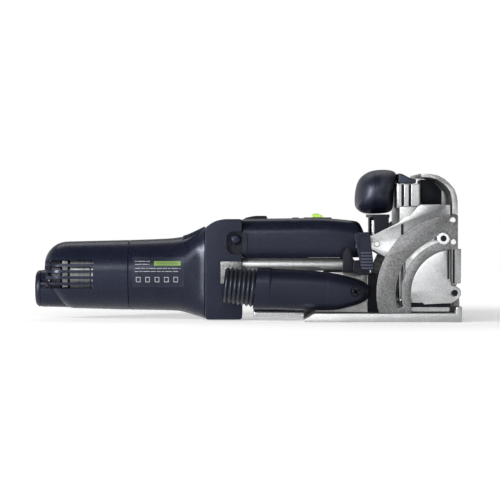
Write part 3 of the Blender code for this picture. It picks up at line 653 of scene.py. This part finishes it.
def hood_fittings():
    """The gasket between hood and head, the tab beside the release button, and the dial's index."""
    outer, inner = hood_section(0, 0.9, HOOD_BOTTOM, 14), hood_section(0, 2.4, HOOD_BOTTOM, 13)
    ends = ((-4.2, outer), (-1.6, outer), (-1.6, inner), (-4.2, inner))
    gasket = lofted([[(x, y, z) for _, y, z in section] for x, section in ends], loop=True)
    place(mesh_piece("hood_gasket", gasket, BLACK), "motor_unit", "black_plastic")
    outline = rounded_outline([(-2.3, 62), (1.7, 62), (1.7, 80.6), (-2.3, 80.6)], 1.2)
    tab = mesh_piece("hood_tab", prism(outline, -33.9, -32.7), HEAD)
    place(bevelled(tab, 0.25), "motor_unit", "dark_plastic")
    bump = [(43.0, 92.6), (43.6, 94.3), (49.4, 94.35), (50.2, 92.6)]
    index = mesh_piece("hood_index", prism(bump, -3, 3), SHELL)
    place(bevelled(index, 0.4), "motor_unit", "dark_plastic")


def power_switch():
    """The slide switch on the hood's top, with grooves for the thumb."""
    wedge = [
        (-0.8, 91.8), (-0.8, 93.9), (6, 95.4), (10, 95.9), (19.2, 95.9), (20.2, 94.2), (20.2, 91.8),
    ]  # fmt: skip
    switch = mesh_piece("switch_slider", prism(rounded_outline(wedge, 0.8, 3), -8, 8), BLACK)
    bevelled(switch, 0.5, 3)
    bake(switch)
    for k in range(5):
        x = 9.2 + 2.1 * k
        carve(switch, prism([(x, 95.2), (x + 0.9, 95.2), (x + 0.9, 97), (x, 97)], -6.6, 6.6))
    place(bake(switch), "power_switch", "black_plastic", "power_switch")


def width_dial():
    """The mortise width dial: a disc with a raised rim and a green lever across it."""
    profile = [
        (92.5, 0), (92.5, 12.6), (92.9, 13.0), (94.0, 13.0), (94.4, 12.6), (94.4, 10.6), (94.1, 10.3),
        (94.1, 0),
    ]  # fmt: skip
    dial = mesh_piece("width_dial_disc", turned(profile, (DIAL_X, 0), "z", 72), BLACK)
    place(dial, "width_dial", "black_plastic", "width_dial")
    side = [
        (-4.8, 94.5), (-4.8, 97.6), (-4.2, 98), (-0.2, 98), (0.6, 97.6), (4.8, 95.7), (4.8, 94.5),
    ]  # fmt: skip
    lever = mesh_piece("dial_lever", prism([(DIAL_X + x, z) for x, z in side], -9, 9), GREEN)
    place(bevelled(lever, 0.5, 3), "width_dial", "green_plastic", "dial_pointer")


def release_button():
    """The domed button in the head's recess, which frees the motor unit from the base."""
    profile = [
        (-35.4, 0), (-35.35, 1.6), (-35.1, 2.8), (-34.6, 3.8), (-33.8, 4.4), (-33.0, 4.6),
        (-28.6, 4.6), (-28.6, 0),
    ]  # fmt: skip
    button = mesh_piece("release_cap", turned(profile, RELEASE, "y", 48), HEAD)
    place(button, "release_button", "black_plastic", "release_button")


DUCT_Y = -53.0
DUCT_LEAN = 0.114  # how far the rear collar leans back, per unit of height
DUCT_REAR, DUCT_FRONT = 8.6, 111.6
DUCT_SCREW = (99.6, 27.4)  # its axis, as X and Z
# The duct's top, underside, half width and squareness, each as (X, value)
DUCT_TOP = (
    (DUCT_REAR, 49.0), (21.2, 48.9), (22.2, 48.1), (40, 47.6), (50, 47.1), (80, 43.9), (96, 40.2),
    (106, 36.9), (DUCT_FRONT, 33.0),
)  # fmt: skip
DUCT_BOTTOM = (
    (DUCT_REAR, 11.2), (21.2, 11.0), (22.2, 11.1), (50, 10.1), (80, 10.5), (96, 13.7), (106, 17.2),
    (DUCT_FRONT, 20.8),
)  # fmt: skip
DUCT_HALF = (
    (DUCT_REAR, 15.5), (21.2, 15.5), (22.2, 15.2), (50, 15.2), (80, 15.0), (96, 14.0), (106, 11.0),
    (DUCT_FRONT, 5.6),
)  # fmt: skip
DUCT_POWER = ((DUCT_REAR, 2.3), (50, 2.4), (96, 2.7), (DUCT_FRONT, 2.6))


def duct_section(x, inset, squeeze=1.0):
    top, bottom = eased(DUCT_TOP, x) - inset, eased(DUCT_BOTTOM, x) + inset
    half = (eased(DUCT_HALF, x) - inset) * squeeze
    rise = (top - bottom) / 2 * squeeze
    outline = oval(half, rise, DUCT_Y, (top + bottom) / 2, eased(DUCT_POWER, x), 72)
    lean = DUCT_LEAN * min(1.0, max(0.0, (40 - x) / 17))
    return [(x + lean * (z - 30), y, max(z, 8.1)) for y, z in outline]


def dust_duct():
    """The extraction duct beside the head, with a band and a seam round it."""
    stations = [8.9, 12, 16, 20.6, 21.1, 21.4, 21.7, 22.0, 22.4]
    stations += steps_between(25, 107, 30) + [108.5, 110, 111]
    sections = [duct_section(DUCT_REAR, 0.4)] + [duct_section(x, 0) for x in stations]
    sections.append(duct_section(DUCT_FRONT, 0.4, 0.8))
    duct = mesh_piece("duct_shell", lofted(sections), DUCT)
    bore = [[(x - 3, y, z) for x, y, z in duct_section(8.7, 2.4)]]
    bore += [duct_section(x, 2.4) for x in (16, 40, 70, 96)]
    carve(duct, lofted(bore))
    carve(duct, box((79, -45, 19), (97, -30, 33)))
    carve(duct, rod(5.2, -70, -64.9, DUCT_SCREW, "y"))
    place(bake(duct, 35), "guide_frame", "dark_plastic", "dust_duct")
    for x, name in ((20.4, "duct_band"), (74.0, "duct_seam")):
        outer, inner = duct_section(x, -0.22), duct_section(x, 0.6)
        front = [[(x + 0.9, y, z) for _, y, z in section] for section in (outer, inner)]
        ring = mesh_piece(name, lofted([outer, *front, inner], loop=True), DUCT)
        place(ring, "guide_frame", "dark_plastic")


def duct_screw():
    """The cross-head screw that holds the duct."""
    head = [(-63.4, 0), (-63.4, 4.6), (-65.3, 4.6), (-66.1, 4.0), (-66.5, 2.6), (-66.5, 0)]
    screw = mesh_piece("duct_screw_head", turned(head, DUCT_SCREW, "y", 40), BLACK)
    x0, z0 = DUCT_SCREW
    for turn in (35, 125):
        c, s = math.cos(math.radians(turn)), math.sin(math.radians(turn))
        bar = [(-3.0, -0.55), (3.0, -0.55), (3.0, 0.55), (-3.0, 0.55)]
        slot = [(x0 + x * c - z * s, z0 + x * s + z * c) for x, z in bar]
        carve(screw, prism(slot, -68, -64.9))
    place(bake(screw), "guide_frame", "bright_steel", "duct_screw")


def hose_bellows():
    """The ribbed hose end, which widens forwards and slopes down to the duct."""
    length, rings = 28.6, 7
    profile = [(0.0, 13.4), (0.0, 15.6)]
    for k in range(rings * 12 + 1):
        ring = k / 12
        wave = 0.5 - 0.5 * math.cos(2 * math.pi * ring)
        radius = 14.4 + 1.3 * ring / rings + 1.9 * wave**0.7
        profile.append((0.3 + (length - 0.6) * ring / rings, radius))
    profile += [(length, 15.6), (length, 13.4)]
    points, faces = turned(profile, (0, 0), "x", 72)
    lean = Matrix.Rotation(math.radians(6.3), 4, "Y")
    points = [tuple(lean @ Vector(p) + Vector((-19.7, DUCT_Y, 33.4))) for p in points]
    bellows = mesh_piece("hose_bellows", (points, faces), BELLOWS, 60)
    place(bellows, "guide_frame", "soft_rubber", "duct_bellows")


GRIP_SIDE = (
    (101.6, 105.8), (101.7, 115.1), (103.6, 126.0), (107.9, 132.7), (115.3, 137.3), (122.8, 138.5),
    (130, 138.7), (137.2, 137.6), (139.8, 134.4), (139.9, 129.5), (138.0, 124), (137.0, 112),
    (136.4, 101.8), (131.5, 98.2), (115.3, 97.6), (109.2, 98.3), (104.0, 101.4),
)  # fmt: skip


def smooth_loop(points, steps=8):
    """A closed curve through the points."""
    made = []
    count = len(points)
    for i in range(count):
        a, b, c, d = (Vector(points[(i + k) % count]) for k in (-1, 0, 1, 2))
        for k in range(steps):
            t = k / steps
            spot = 2 * b + (c - a) * t + (2 * a - 5 * b + 4 * c - d) * t**2 + (3 * b - a - 3 * c + d) * t**3
            made.append(tuple(spot / 2))
    return made


def grip_form(factor, half_width):
    """The handle's body, as smoothed outlines that shrink towards both ends."""
    outline = smooth_loop(GRIP_SIDE, 4)
    for _ in range(6):
        near = zip(outline[-1:] + outline[:-1], outline, outline[1:] + outline[:1])
        outline = [tuple((a[i] + 2 * b[i] + c[i]) / 4 for i in range(2)) for a, b, c in near]
    middle_x, middle_z = 121.0, 118.0
    sections = []
    for turn in steps_between(-88.5, 88.5, 40):
        share = math.sin(math.radians(turn))
        swell = max(0.02, (1 - abs(share) ** 2.9) ** 0.47) * factor
        section = []
        for x, z in outline:
            spot = (middle_x + (x - middle_x) * swell, middle_z + (z - middle_z) * swell)
            section.append((spot[0], half_width * share, spot[1]))
        sections.append(section)
    return lofted(sections)


def grip():
    """The front handle, held from above: a rounded bar across the tool with rubber ends."""
    handle = mesh_piece("grip_body", grip_form(1.0, 40.0), GRIP, 50)
    carve(handle, box((118.75, -60, 80), (119.2, 60, 160)))
    place(bake(handle, 50), "fence_carriage", "dark_plastic", "handle_grip")
    core = mesh_piece("grip_core", grip_form(0.985, 39.4), BLACK, 50)
    place(core, "fence_carriage", "dark_plastic")
    patch = [
        (123.8, 136.5), (123.6, 119.5), (125.8, 117.6), (131, 117.8), (135.6, 121.0), (138.6, 126),
        (141, 131), (141, 137),
    ]  # fmt: skip
    for side in (-1, 1):
        pad = mesh_piece("grip_pad_" + tag(side), grip_form(1.006, 40.25), SOFT, 50)
        low, high = (22, 45) if side > 0 else (-45, -22)
        carve(pad, prism(rounded_outline(patch, 2.0), low, high), "INTERSECT")
        place(bake(pad, 40), "fence_carriage", "soft_rubber")


def column_cover():
    """The wedge that covers the tower's top."""
    cap = [(140.2, 125.6), (156, 125.6), (156, 129.4), (150, 130.8), (143.5, 134.2), (140.2, 135.0)]
    wedge = mesh_piece("column_cover", prism(rounded_outline(cap, 1.2, 3), -36, 36), GRIP)
    bevelled(wedge, 1.0, 3, 50)
    bake(wedge)
    place(wedge, "fence_carriage", "dark_plastic", "column_cap")


LEVER = (105.4, 73.0)  # the height lever's axis, as X and Z


def height_lever():
    """The clamp lever on the right, with a dished top and ribs that the thumb pulls on."""
    outline = [(97.7, 78.4), (99.3, 80.6), (110.4, 81.4), (112.0, 79.4), (115.8, 48.4), (114.4, 46.9)]
    outline += [(105.8, 46.9), (104.2, 48.4)]
    lever = mesh_piece("height_lever_body", prism(rounded_outline(outline, 1.6, 4), -73.6, -66.2), SHELL)
    bevelled(lever, 0.8, 3, 50)
    bake(lever)
    dish = rounded_outline([(100.6, 66.5), (102.3, 78.6), (110, 79.4), (111.9, 65.6)], 2.4, 5)
    carve(lever, prism(dish, -80, -72.4))
    carve(lever, rod(3.0, -70, -58, LEVER, "y"), "UNION")
    place(bake(lever), "height_lever", "dark_plastic", "height_clamp_lever")
    # The ribs get the lighter plastic: their tops carry a painted highlight.
    for k in range(6):
        z = 48.9 + 2.75 * k
        across = upright(104.5 - 0.12 * k, 115.3 - 0.335 * k, z - 0.75, z + 0.75)
        rib = mesh_piece(f"lever_rib_{k}", prism(across, -75.0, -73.0), RIB_HIGHLIGHT)
        place(bevelled(rib, 0.5, 3), "height_lever", "dark_plastic")


def coil_spring():
    """The plunge's return spring, wound round the left guide column."""
    turns, wire, radius = 46, 0.33, 6.25
    steps_a_turn = 20
    sections = []
    for k, x in enumerate(steps_between(-1.6, 87.6, turns * steps_a_turn)):
        turn = 2 * math.pi * k / steps_a_turn
        out = Vector((0, math.cos(turn), math.sin(turn)))
        centre = Vector((x, GUIDE_Y, GUIDE_Z)) + out * radius
        ring = arc(wire, 0, 315, 7)
        sections.append([tuple(centre + out * outward + Vector((along, 0, 0))) for outward, along in ring])
    spring = mesh_piece("plunge_spring", lofted(sections), SPRING, 60)
    place(spring, "guide_frame", "bright_steel", "return_spring")
    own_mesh(spring)


def cutter():
    """A two-flute spiral cutter."""
    sections = []
    for x in steps_between(158.0, 193.8, 48):
        twist = (x - 158) * 0.13
        grow = min(1.0, max(0.0, (x - 160) / 4))
        section = []
        for k in range(24):
            turn = 2 * math.pi * k / 24
            radius = 4.0 - grow * 1.7 * max(0.0, math.cos(2 * turn)) ** 1.5
            section.append((x, radius * math.cos(turn + twist), 10 + radius * math.sin(turn + twist)))
        sections.append(section)
    bit = mesh_piece("spiral_cutter", lofted(sections), CARBIDE, 50)
    carve(bit, rod(3.0, 146, 159, (0, 10)), "UNION")
    place(bake(bit, 50), "spindle", "bright_steel", "mortise_cutter")


def screws():
    """Machine screws in the castings, with a hexagon socket each."""
    for name, body, face, places in (
        ("quadrant_screw", "swivel_fence", -70.0, [(186.6, 92.4), (187.0, 72.6)]),
        ("flank_screw", "fence_carriage", -65.5, [(118.5, 70.5)]),
    ):
        y = face + 0.1
        head = [(y, 0), (y, 2.7), (y - 1.0, 2.7), (y - 1.5, 2.2), (y - 1.5, 0)]
        for k, spot in enumerate(places):
            for side in (-1, 1):
                screw = mesh_piece(f"{name}_{k}_{tag(side)}", turned(head, spot, "y", 32), SCREW)
                carve(screw, rod(1.2, y - 3, y - 0.7, spot, "y", 6))
                if side > 0:
                    mirror_across(screw)
                place(bake(screw), body, "bright_steel")


def sockets():
    """Black discs in the clamp bolt and the fence's pivots, painted shade for the dark hollows of their
    sockets.
    """
    for name, body, x, z, y, radius in (
        ("clamp_socket_shade_right", "angle_lever", 178.02, 75.56, -74.75, 2.9),
        ("pivot_socket_shade_right", "swivel_fence", 188.2, 26.4, -71.1, 2.7),
        ("pivot_socket_shade_left", "swivel_fence", 188.2, 26.4, 71.1, 2.7),
    ):
        out = math.copysign(1, y)
        back, rim, floor = y - out * 1.6, y - out * 0.25, y - out * 0.9
        profile = [(back, 0), (back, radius), (rim, radius), (y, radius - 0.3), (y, 1.4)]
        profile += [(floor, 1.2), (floor, 0)]
        place(mesh_piece(name, turned(profile, (x, z), "y", 36), BLACK), body, "black_plastic")


PRINT_LIFT = 0.16  # how far the blank print stands out from the barrel


def barrel_right(x, z):
    """How far out the barrel's right side is, at a place given as X and Z."""
    top, bottom = eased(FLARE_TOP, x), eased(FLARE_BOTTOM, x)
    half, power = eased(FLARE_HALF, x), eased(FLARE_POWER, x)
    share = abs((z - (top + bottom) / 2) / ((top - bottom) / 2)) ** power
    return half * (1 - share) ** (1 / power)


def patch(name, x0, x1, z0, z1, lift, material):
    """A thin sheet that follows the barrel's right side."""
    columns = max(2, round((x1 - x0) / 3))
    rows = max(2, round((z1 - z0) / 3))
    spots = [(x, z) for z in steps_between(z0, z1, rows) for x in steps_between(x0, x1, columns)]
    top = [(x, -barrel_right(x, z) - lift, z) for x, z in spots]
    bottom = [(x, -barrel_right(x, z) + 0.3, z) for x, z in spots]
    across = columns + 1
    size = len(top)
    faces = []
    for i in range(rows):
        for j in range(columns):
            a = i * across + j
            faces.append((a, a + 1, a + across + 1, a + across))
            faces.append((size + a, size + a + across, size + a + across + 1, size + a + 1))
    loop = list(range(across)) + [across * i + columns for i in range(1, rows + 1)]
    loop += list(range(size - 2, size - across - 1, -1)) + [across * i for i in range(rows - 1, 0, -1)]
    for a, b in zip(loop, loop[1:] + loop[:1]):
        faces.append((a, b, size + b, size + a))
    place(mesh_piece(name, (top + bottom, faces), material), "motor_unit", "dark_plastic")


def label():
    """A plain rating label with blank dashes and frames on it: no lettering."""
    patch("label_base", -103.5, -56.5, 30.6, 58.0, 0.10, LABEL)
    patch("label_accent", -84.0, -59.5, 50.2, 54.4, 0.18, GREEN_PRINT)
    start = -101.5
    for k, (z, end) in enumerate(((53.8, -88.0), (51.2, -88.0), (47.4, -59.5), (44.6, -61.5))):
        x = start
        step = 0
        while x < end:
            dash = 2.2 + 1.3 * ((step * 7 + k * 3) % 4)
            patch(f"label_dash_{k}_{step}", x, min(x + dash, end), z, z + 0.55, PRINT_LIFT, PRINT)
            x += dash + 0.9
            step += 1
    foot, top, line = 35.0, 39.8, 0.6
    for k in range(5):
        near = -100.5 + 8.6 * k
        far = near + 4.2
        for name, x0, x1, z0, z1 in (
            ("top", near, far, top - line, top),
            ("foot", near, far, foot, foot + line),
            ("near", near, near + line, foot + line, top - line),
            ("far", far - line, far, foot + line, top - line),
        ):
            patch(f"label_frame_{k}_{name}", x0, x1, z0, z1, PRINT_LIFT, PRINT)


def plate(name, outline, low, high, material, body, slot, ease=0.3):
    """A flat plate on both sides of the tool, between two distances from its middle."""
    for side in (-1, 1):
        ends = (low, high) if side > 0 else (-high, -low)
        obj = mesh_piece(f"{name}_{tag(side)}", prism(outline, *ends), material)
        place(bevelled(obj, ease), body, slot)


def carriage_details():
    """The tower's bars, black strips that are painted shade in the tower's grooves and in the narrow gaps
    and slots by the slide, cheek and fence wall, the height lever's guard and the chip shields.
    """
    foot, face = 104.3, 38.0
    for k, (x0, x1, depth) in enumerate(((138.9, 142.6, 1.6), (144.9, 149.2, 2.4), (151.3, 158.6, 1.8))):
        outline = upright(x0, x1, foot, 125)
        ends = (face, face + depth)
        plate(f"tower_bar_{k}", outline, *ends, CAST_BRIGHT, "fence_carriage", "cast_aluminium", 0.5)
    # The black strips below are painted shade, laid where the grooves, slots and gaps fall dark.
    for name, outline, low, high, body in (
        ("tower_groove_shade_0", upright(142.7, 144.8, foot, 124.8), 37.8, 38.3, "fence_carriage"),
        ("tower_groove_shade_1", upright(149.3, 151.2, foot, 124.8), 37.8, 38.3, "fence_carriage"),
        ("slide_gap_shade", upright(181.8, 183.5, 39.0, 65.6), 69.8, 70.15, "fence_carriage"),
        ("cheek_slot_shade", upright(140.3, 142.7, 78.8, 88.4), 65.3, 65.75, "fence_carriage"),
        ("wall_gap_shade", upright(187.0, 188.9, 35.0, 65.8), 65.0, 65.4, "swivel_fence"),
    ):
        plate(name, outline, low, high, BLACK, body, "black_plastic", 0.1)
    outline = rounded_outline([(97.8, 55.5), (112.5, 57), (112.5, 42.5), (103, 42), (97.4, 46)], 1.0)
    guard = mesh_piece("lever_guard", prism(outline, -62, -58), BLACK)
    place(bevelled(guard, 0.4), "fence_carriage", "black_plastic")
    shield = [(146, 8.4), (185.5, 8.4), (185.5, 16.6), (156, 16.6), (156, 26), (146, 26)]
    plate("chip_shield", shield, 59.2, 60.3, BLACK, "guide_frame", "black_plastic")
    plate("shield_bar", upright(150, 184.5, 9.2, 13.4), 60.4, 61.2, CAST, "guide_frame", "cast_aluminium")


def finished_nodes():
    """The CAD solids whose shape is right, with eased edges and their own finish."""
    edge = {"base_frame": 0.6, "swivel_fence": 0.5, "carriage_body": 0.6, "handle_bracket": 0.7}
    finish = {
        "cast_aluminium": CAST, "bright_steel": STEEL, "black_plastic": BLACK,
        "dark_plastic": SHELL, "copper": COPPER,
    }  # fmt: skip
    special = {
        "base_frame": CAST, "carriage_side_right": CAST_BRIGHT, "carriage_side_left": CAST_BRIGHT,
        "fence_quadrant_right": CAST_DARK, "fence_quadrant_left": CAST_DARK,
        "swivel_fence": CAST, "guide_column_right": ROD, "guide_column_left": ROD,
        "base_rail_right": STEEL, "base_rail_left": STEEL, "height_post_right": POST,
        "height_post_left": POST, "stator_core": CORE, "rotor_core": CORE, "angle_clamp_bolt": SCREW,
        "column_clamp_right": CAST_DARK, "column_clamp_left": CAST_DARK, "rotor_shaft": ROD,
    }  # fmt: skip
    slots = {entry["node"]: entry["material_slot"] for entry in frame["record"]["subparts"]}
    replaced = {
        "motor_housing", "rear_cap", "power_inlet", "gear_head", "gear_hood", "power_switch",
        "width_dial", "dial_pointer", "release_button", "dust_duct", "duct_screw", "duct_bellows",
        "handle_grip", "column_cap", "height_clamp_lever", "return_spring", "mortise_cutter",
    }  # fmt: skip
    for body, members in frame["record"]["behaviour"]["bodies"].items():
        for node in members:
            if node in replaced:
                continue
            material = special.get(node, finish[slots[node]])
            refined(node, body, slots[node], material, edge.get(node, 0.35))


def soft_box(name, place_m, target_m, size, power):
    light = bpy.data.lights.new(name, "AREA")
    light.shape = "RECTANGLE"
    light.size, light.size_y = size
    light.energy = power
    obj = bpy.data.objects.new(name, light)
    obj.location = place_m
    obj.rotation_euler = (Vector(target_m) - Vector(place_m)).to_track_quat("-Z", "Y").to_euler()
    bpy.context.scene.collection.objects.link(obj)


def camera_view():
    """The camera, on the tool's right side."""
    camera = bpy.data.cameras.new("camera")
    camera.lens = 166.6
    camera.sensor_width = 36
    camera.clip_end = 60
    obj = bpy.data.objects.new("camera", camera)
    obj.location = (0.0041, -2.153, 0.0975)
    obj.rotation_euler = (math.radians(90 - 0.89), 0, 0)
    bpy.context.scene.collection.objects.link(obj)
    bpy.context.scene.camera = obj


def pale_floor():
    """Plain paper, which glows more further from the tool, to meet the white surround."""
    n = Nodes("pale_floor")
    tone = n.mixed(n.spread(n.noise(2), 0, 1), (0.80, 0.80, 0.80), (0.82, 0.82, 0.82))
    paper = n.finish(tone, n.spread(n.noise(30), 0.85, 0.95), n.relief(n.noise(300), 0.05, 0.1))
    far = n.tree.nodes.new("ShaderNodeTexGradient")
    far.gradient_type = "SPHERICAL"
    n.link(n.stretched((0.8, 0.8, 0.8)), far.inputs["Vector"])
    n.link(n.spread(far.outputs["Fac"], 1.1, 0.42, 0.2, 0.8), n.shader.inputs["Emission Strength"])
    n.shader.inputs["Emission Color"].default_value = (1, 1, 1, 1)
    n.shader.inputs["Specular IOR Level"].default_value = 0.1
    floor = mesh_piece("studio_floor", box((-3000, -2400, -20), (3000, 1400, -0.05)), paper)


def ramp(tree, value, low, high, first, last):
    """A value between low and high, taken to a value between first and last."""
    node = tree.nodes.new("ShaderNodeMapRange")
    for name, limit in (("From Min", low), ("From Max", high), ("To Min", first), ("To Max", last)):
        node.inputs[name].default_value = limit
    tree.links.new(value, node.inputs["Value"])
    return node


def sky():
    """A soft grey surround, dimmer overhead and to the right; the camera sees it as white."""
    world = bpy.data.worlds.new("studio")
    bpy.context.scene.world = world
    world.use_nodes = True
    tree = world.node_tree
    back = tree.nodes["Background"]
    place_in_sky = tree.nodes.new("ShaderNodeTexCoord").outputs["Generated"]
    split = tree.nodes.new("ShaderNodeSeparateXYZ")
    tree.links.new(place_in_sky, split.inputs[0])
    behind = ramp(tree, split.outputs["Y"], 0.05, 0.75, 0.28, 0.6)
    behind.interpolation_type = "SMOOTHSTEP"
    above = ramp(tree, split.outputs["Z"], 0.15, 0.65, 1.0, 0.2)
    both = tree.nodes.new("ShaderNodeMath")
    both.operation = "MULTIPLY"
    tree.links.new(behind.outputs["Result"], both.inputs[0])
    tree.links.new(above.outputs["Result"], both.inputs[1])
    tree.links.new(both.outputs[0], back.inputs["Strength"])
    back.inputs["Color"].default_value = (0.97, 0.98, 1, 1)
    seen = tree.nodes.new("ShaderNodeBackground")
    seen.inputs["Color"].default_value = (1, 1, 1, 1)
    mix = tree.nodes.new("ShaderNodeMixShader")
    path = tree.nodes.new("ShaderNodeLightPath")
    tree.links.new(path.outputs["Is Camera Ray"], mix.inputs[0])
    tree.links.new(back.outputs[0], mix.inputs[1])
    tree.links.new(seen.outputs[0], mix.inputs[2])
    tree.links.new(mix.outputs[0], tree.nodes["World Output"].inputs["Surface"])


def lights():
    soft_box("front", (0.1, -3.0, 0.45), (0, 0, 0.05), (2.4, 1.2), 9)
    soft_box("key", (-0.6, -1.5, 0.85), (0, 0, 0.05), (1.5, 0.35), 13)
    soft_box("left_strip", (-1.35, -1.0, 0.25), (-0.05, 0, 0.05), (0.26, 0.9), 46)
    soft_box("back_top", (0.0, 0.9, 1.1), (0.0, 0.0, 0.05), (1.6, 0.4), 4)
    bpy.context.scene.view_settings.view_transform = "Standard"


def main():
    camera_view()
    pale_floor()
    sky()
    lights()
    barrel()
    barrel_ribs()
    rear_cap()
    liners()
    inlet()
    gear_head()
    thumb_ribs()
    gear_hood()
    hood_fittings()
    power_switch()
    width_dial()
    release_button()
    dust_duct()
    duct_screw()
    hose_bellows()
    grip()
    column_cover()
    height_lever()
    coil_spring()
    cutter()
    screws()
    sockets()
    label()
    carriage_details()
    finished_nodes()


main()
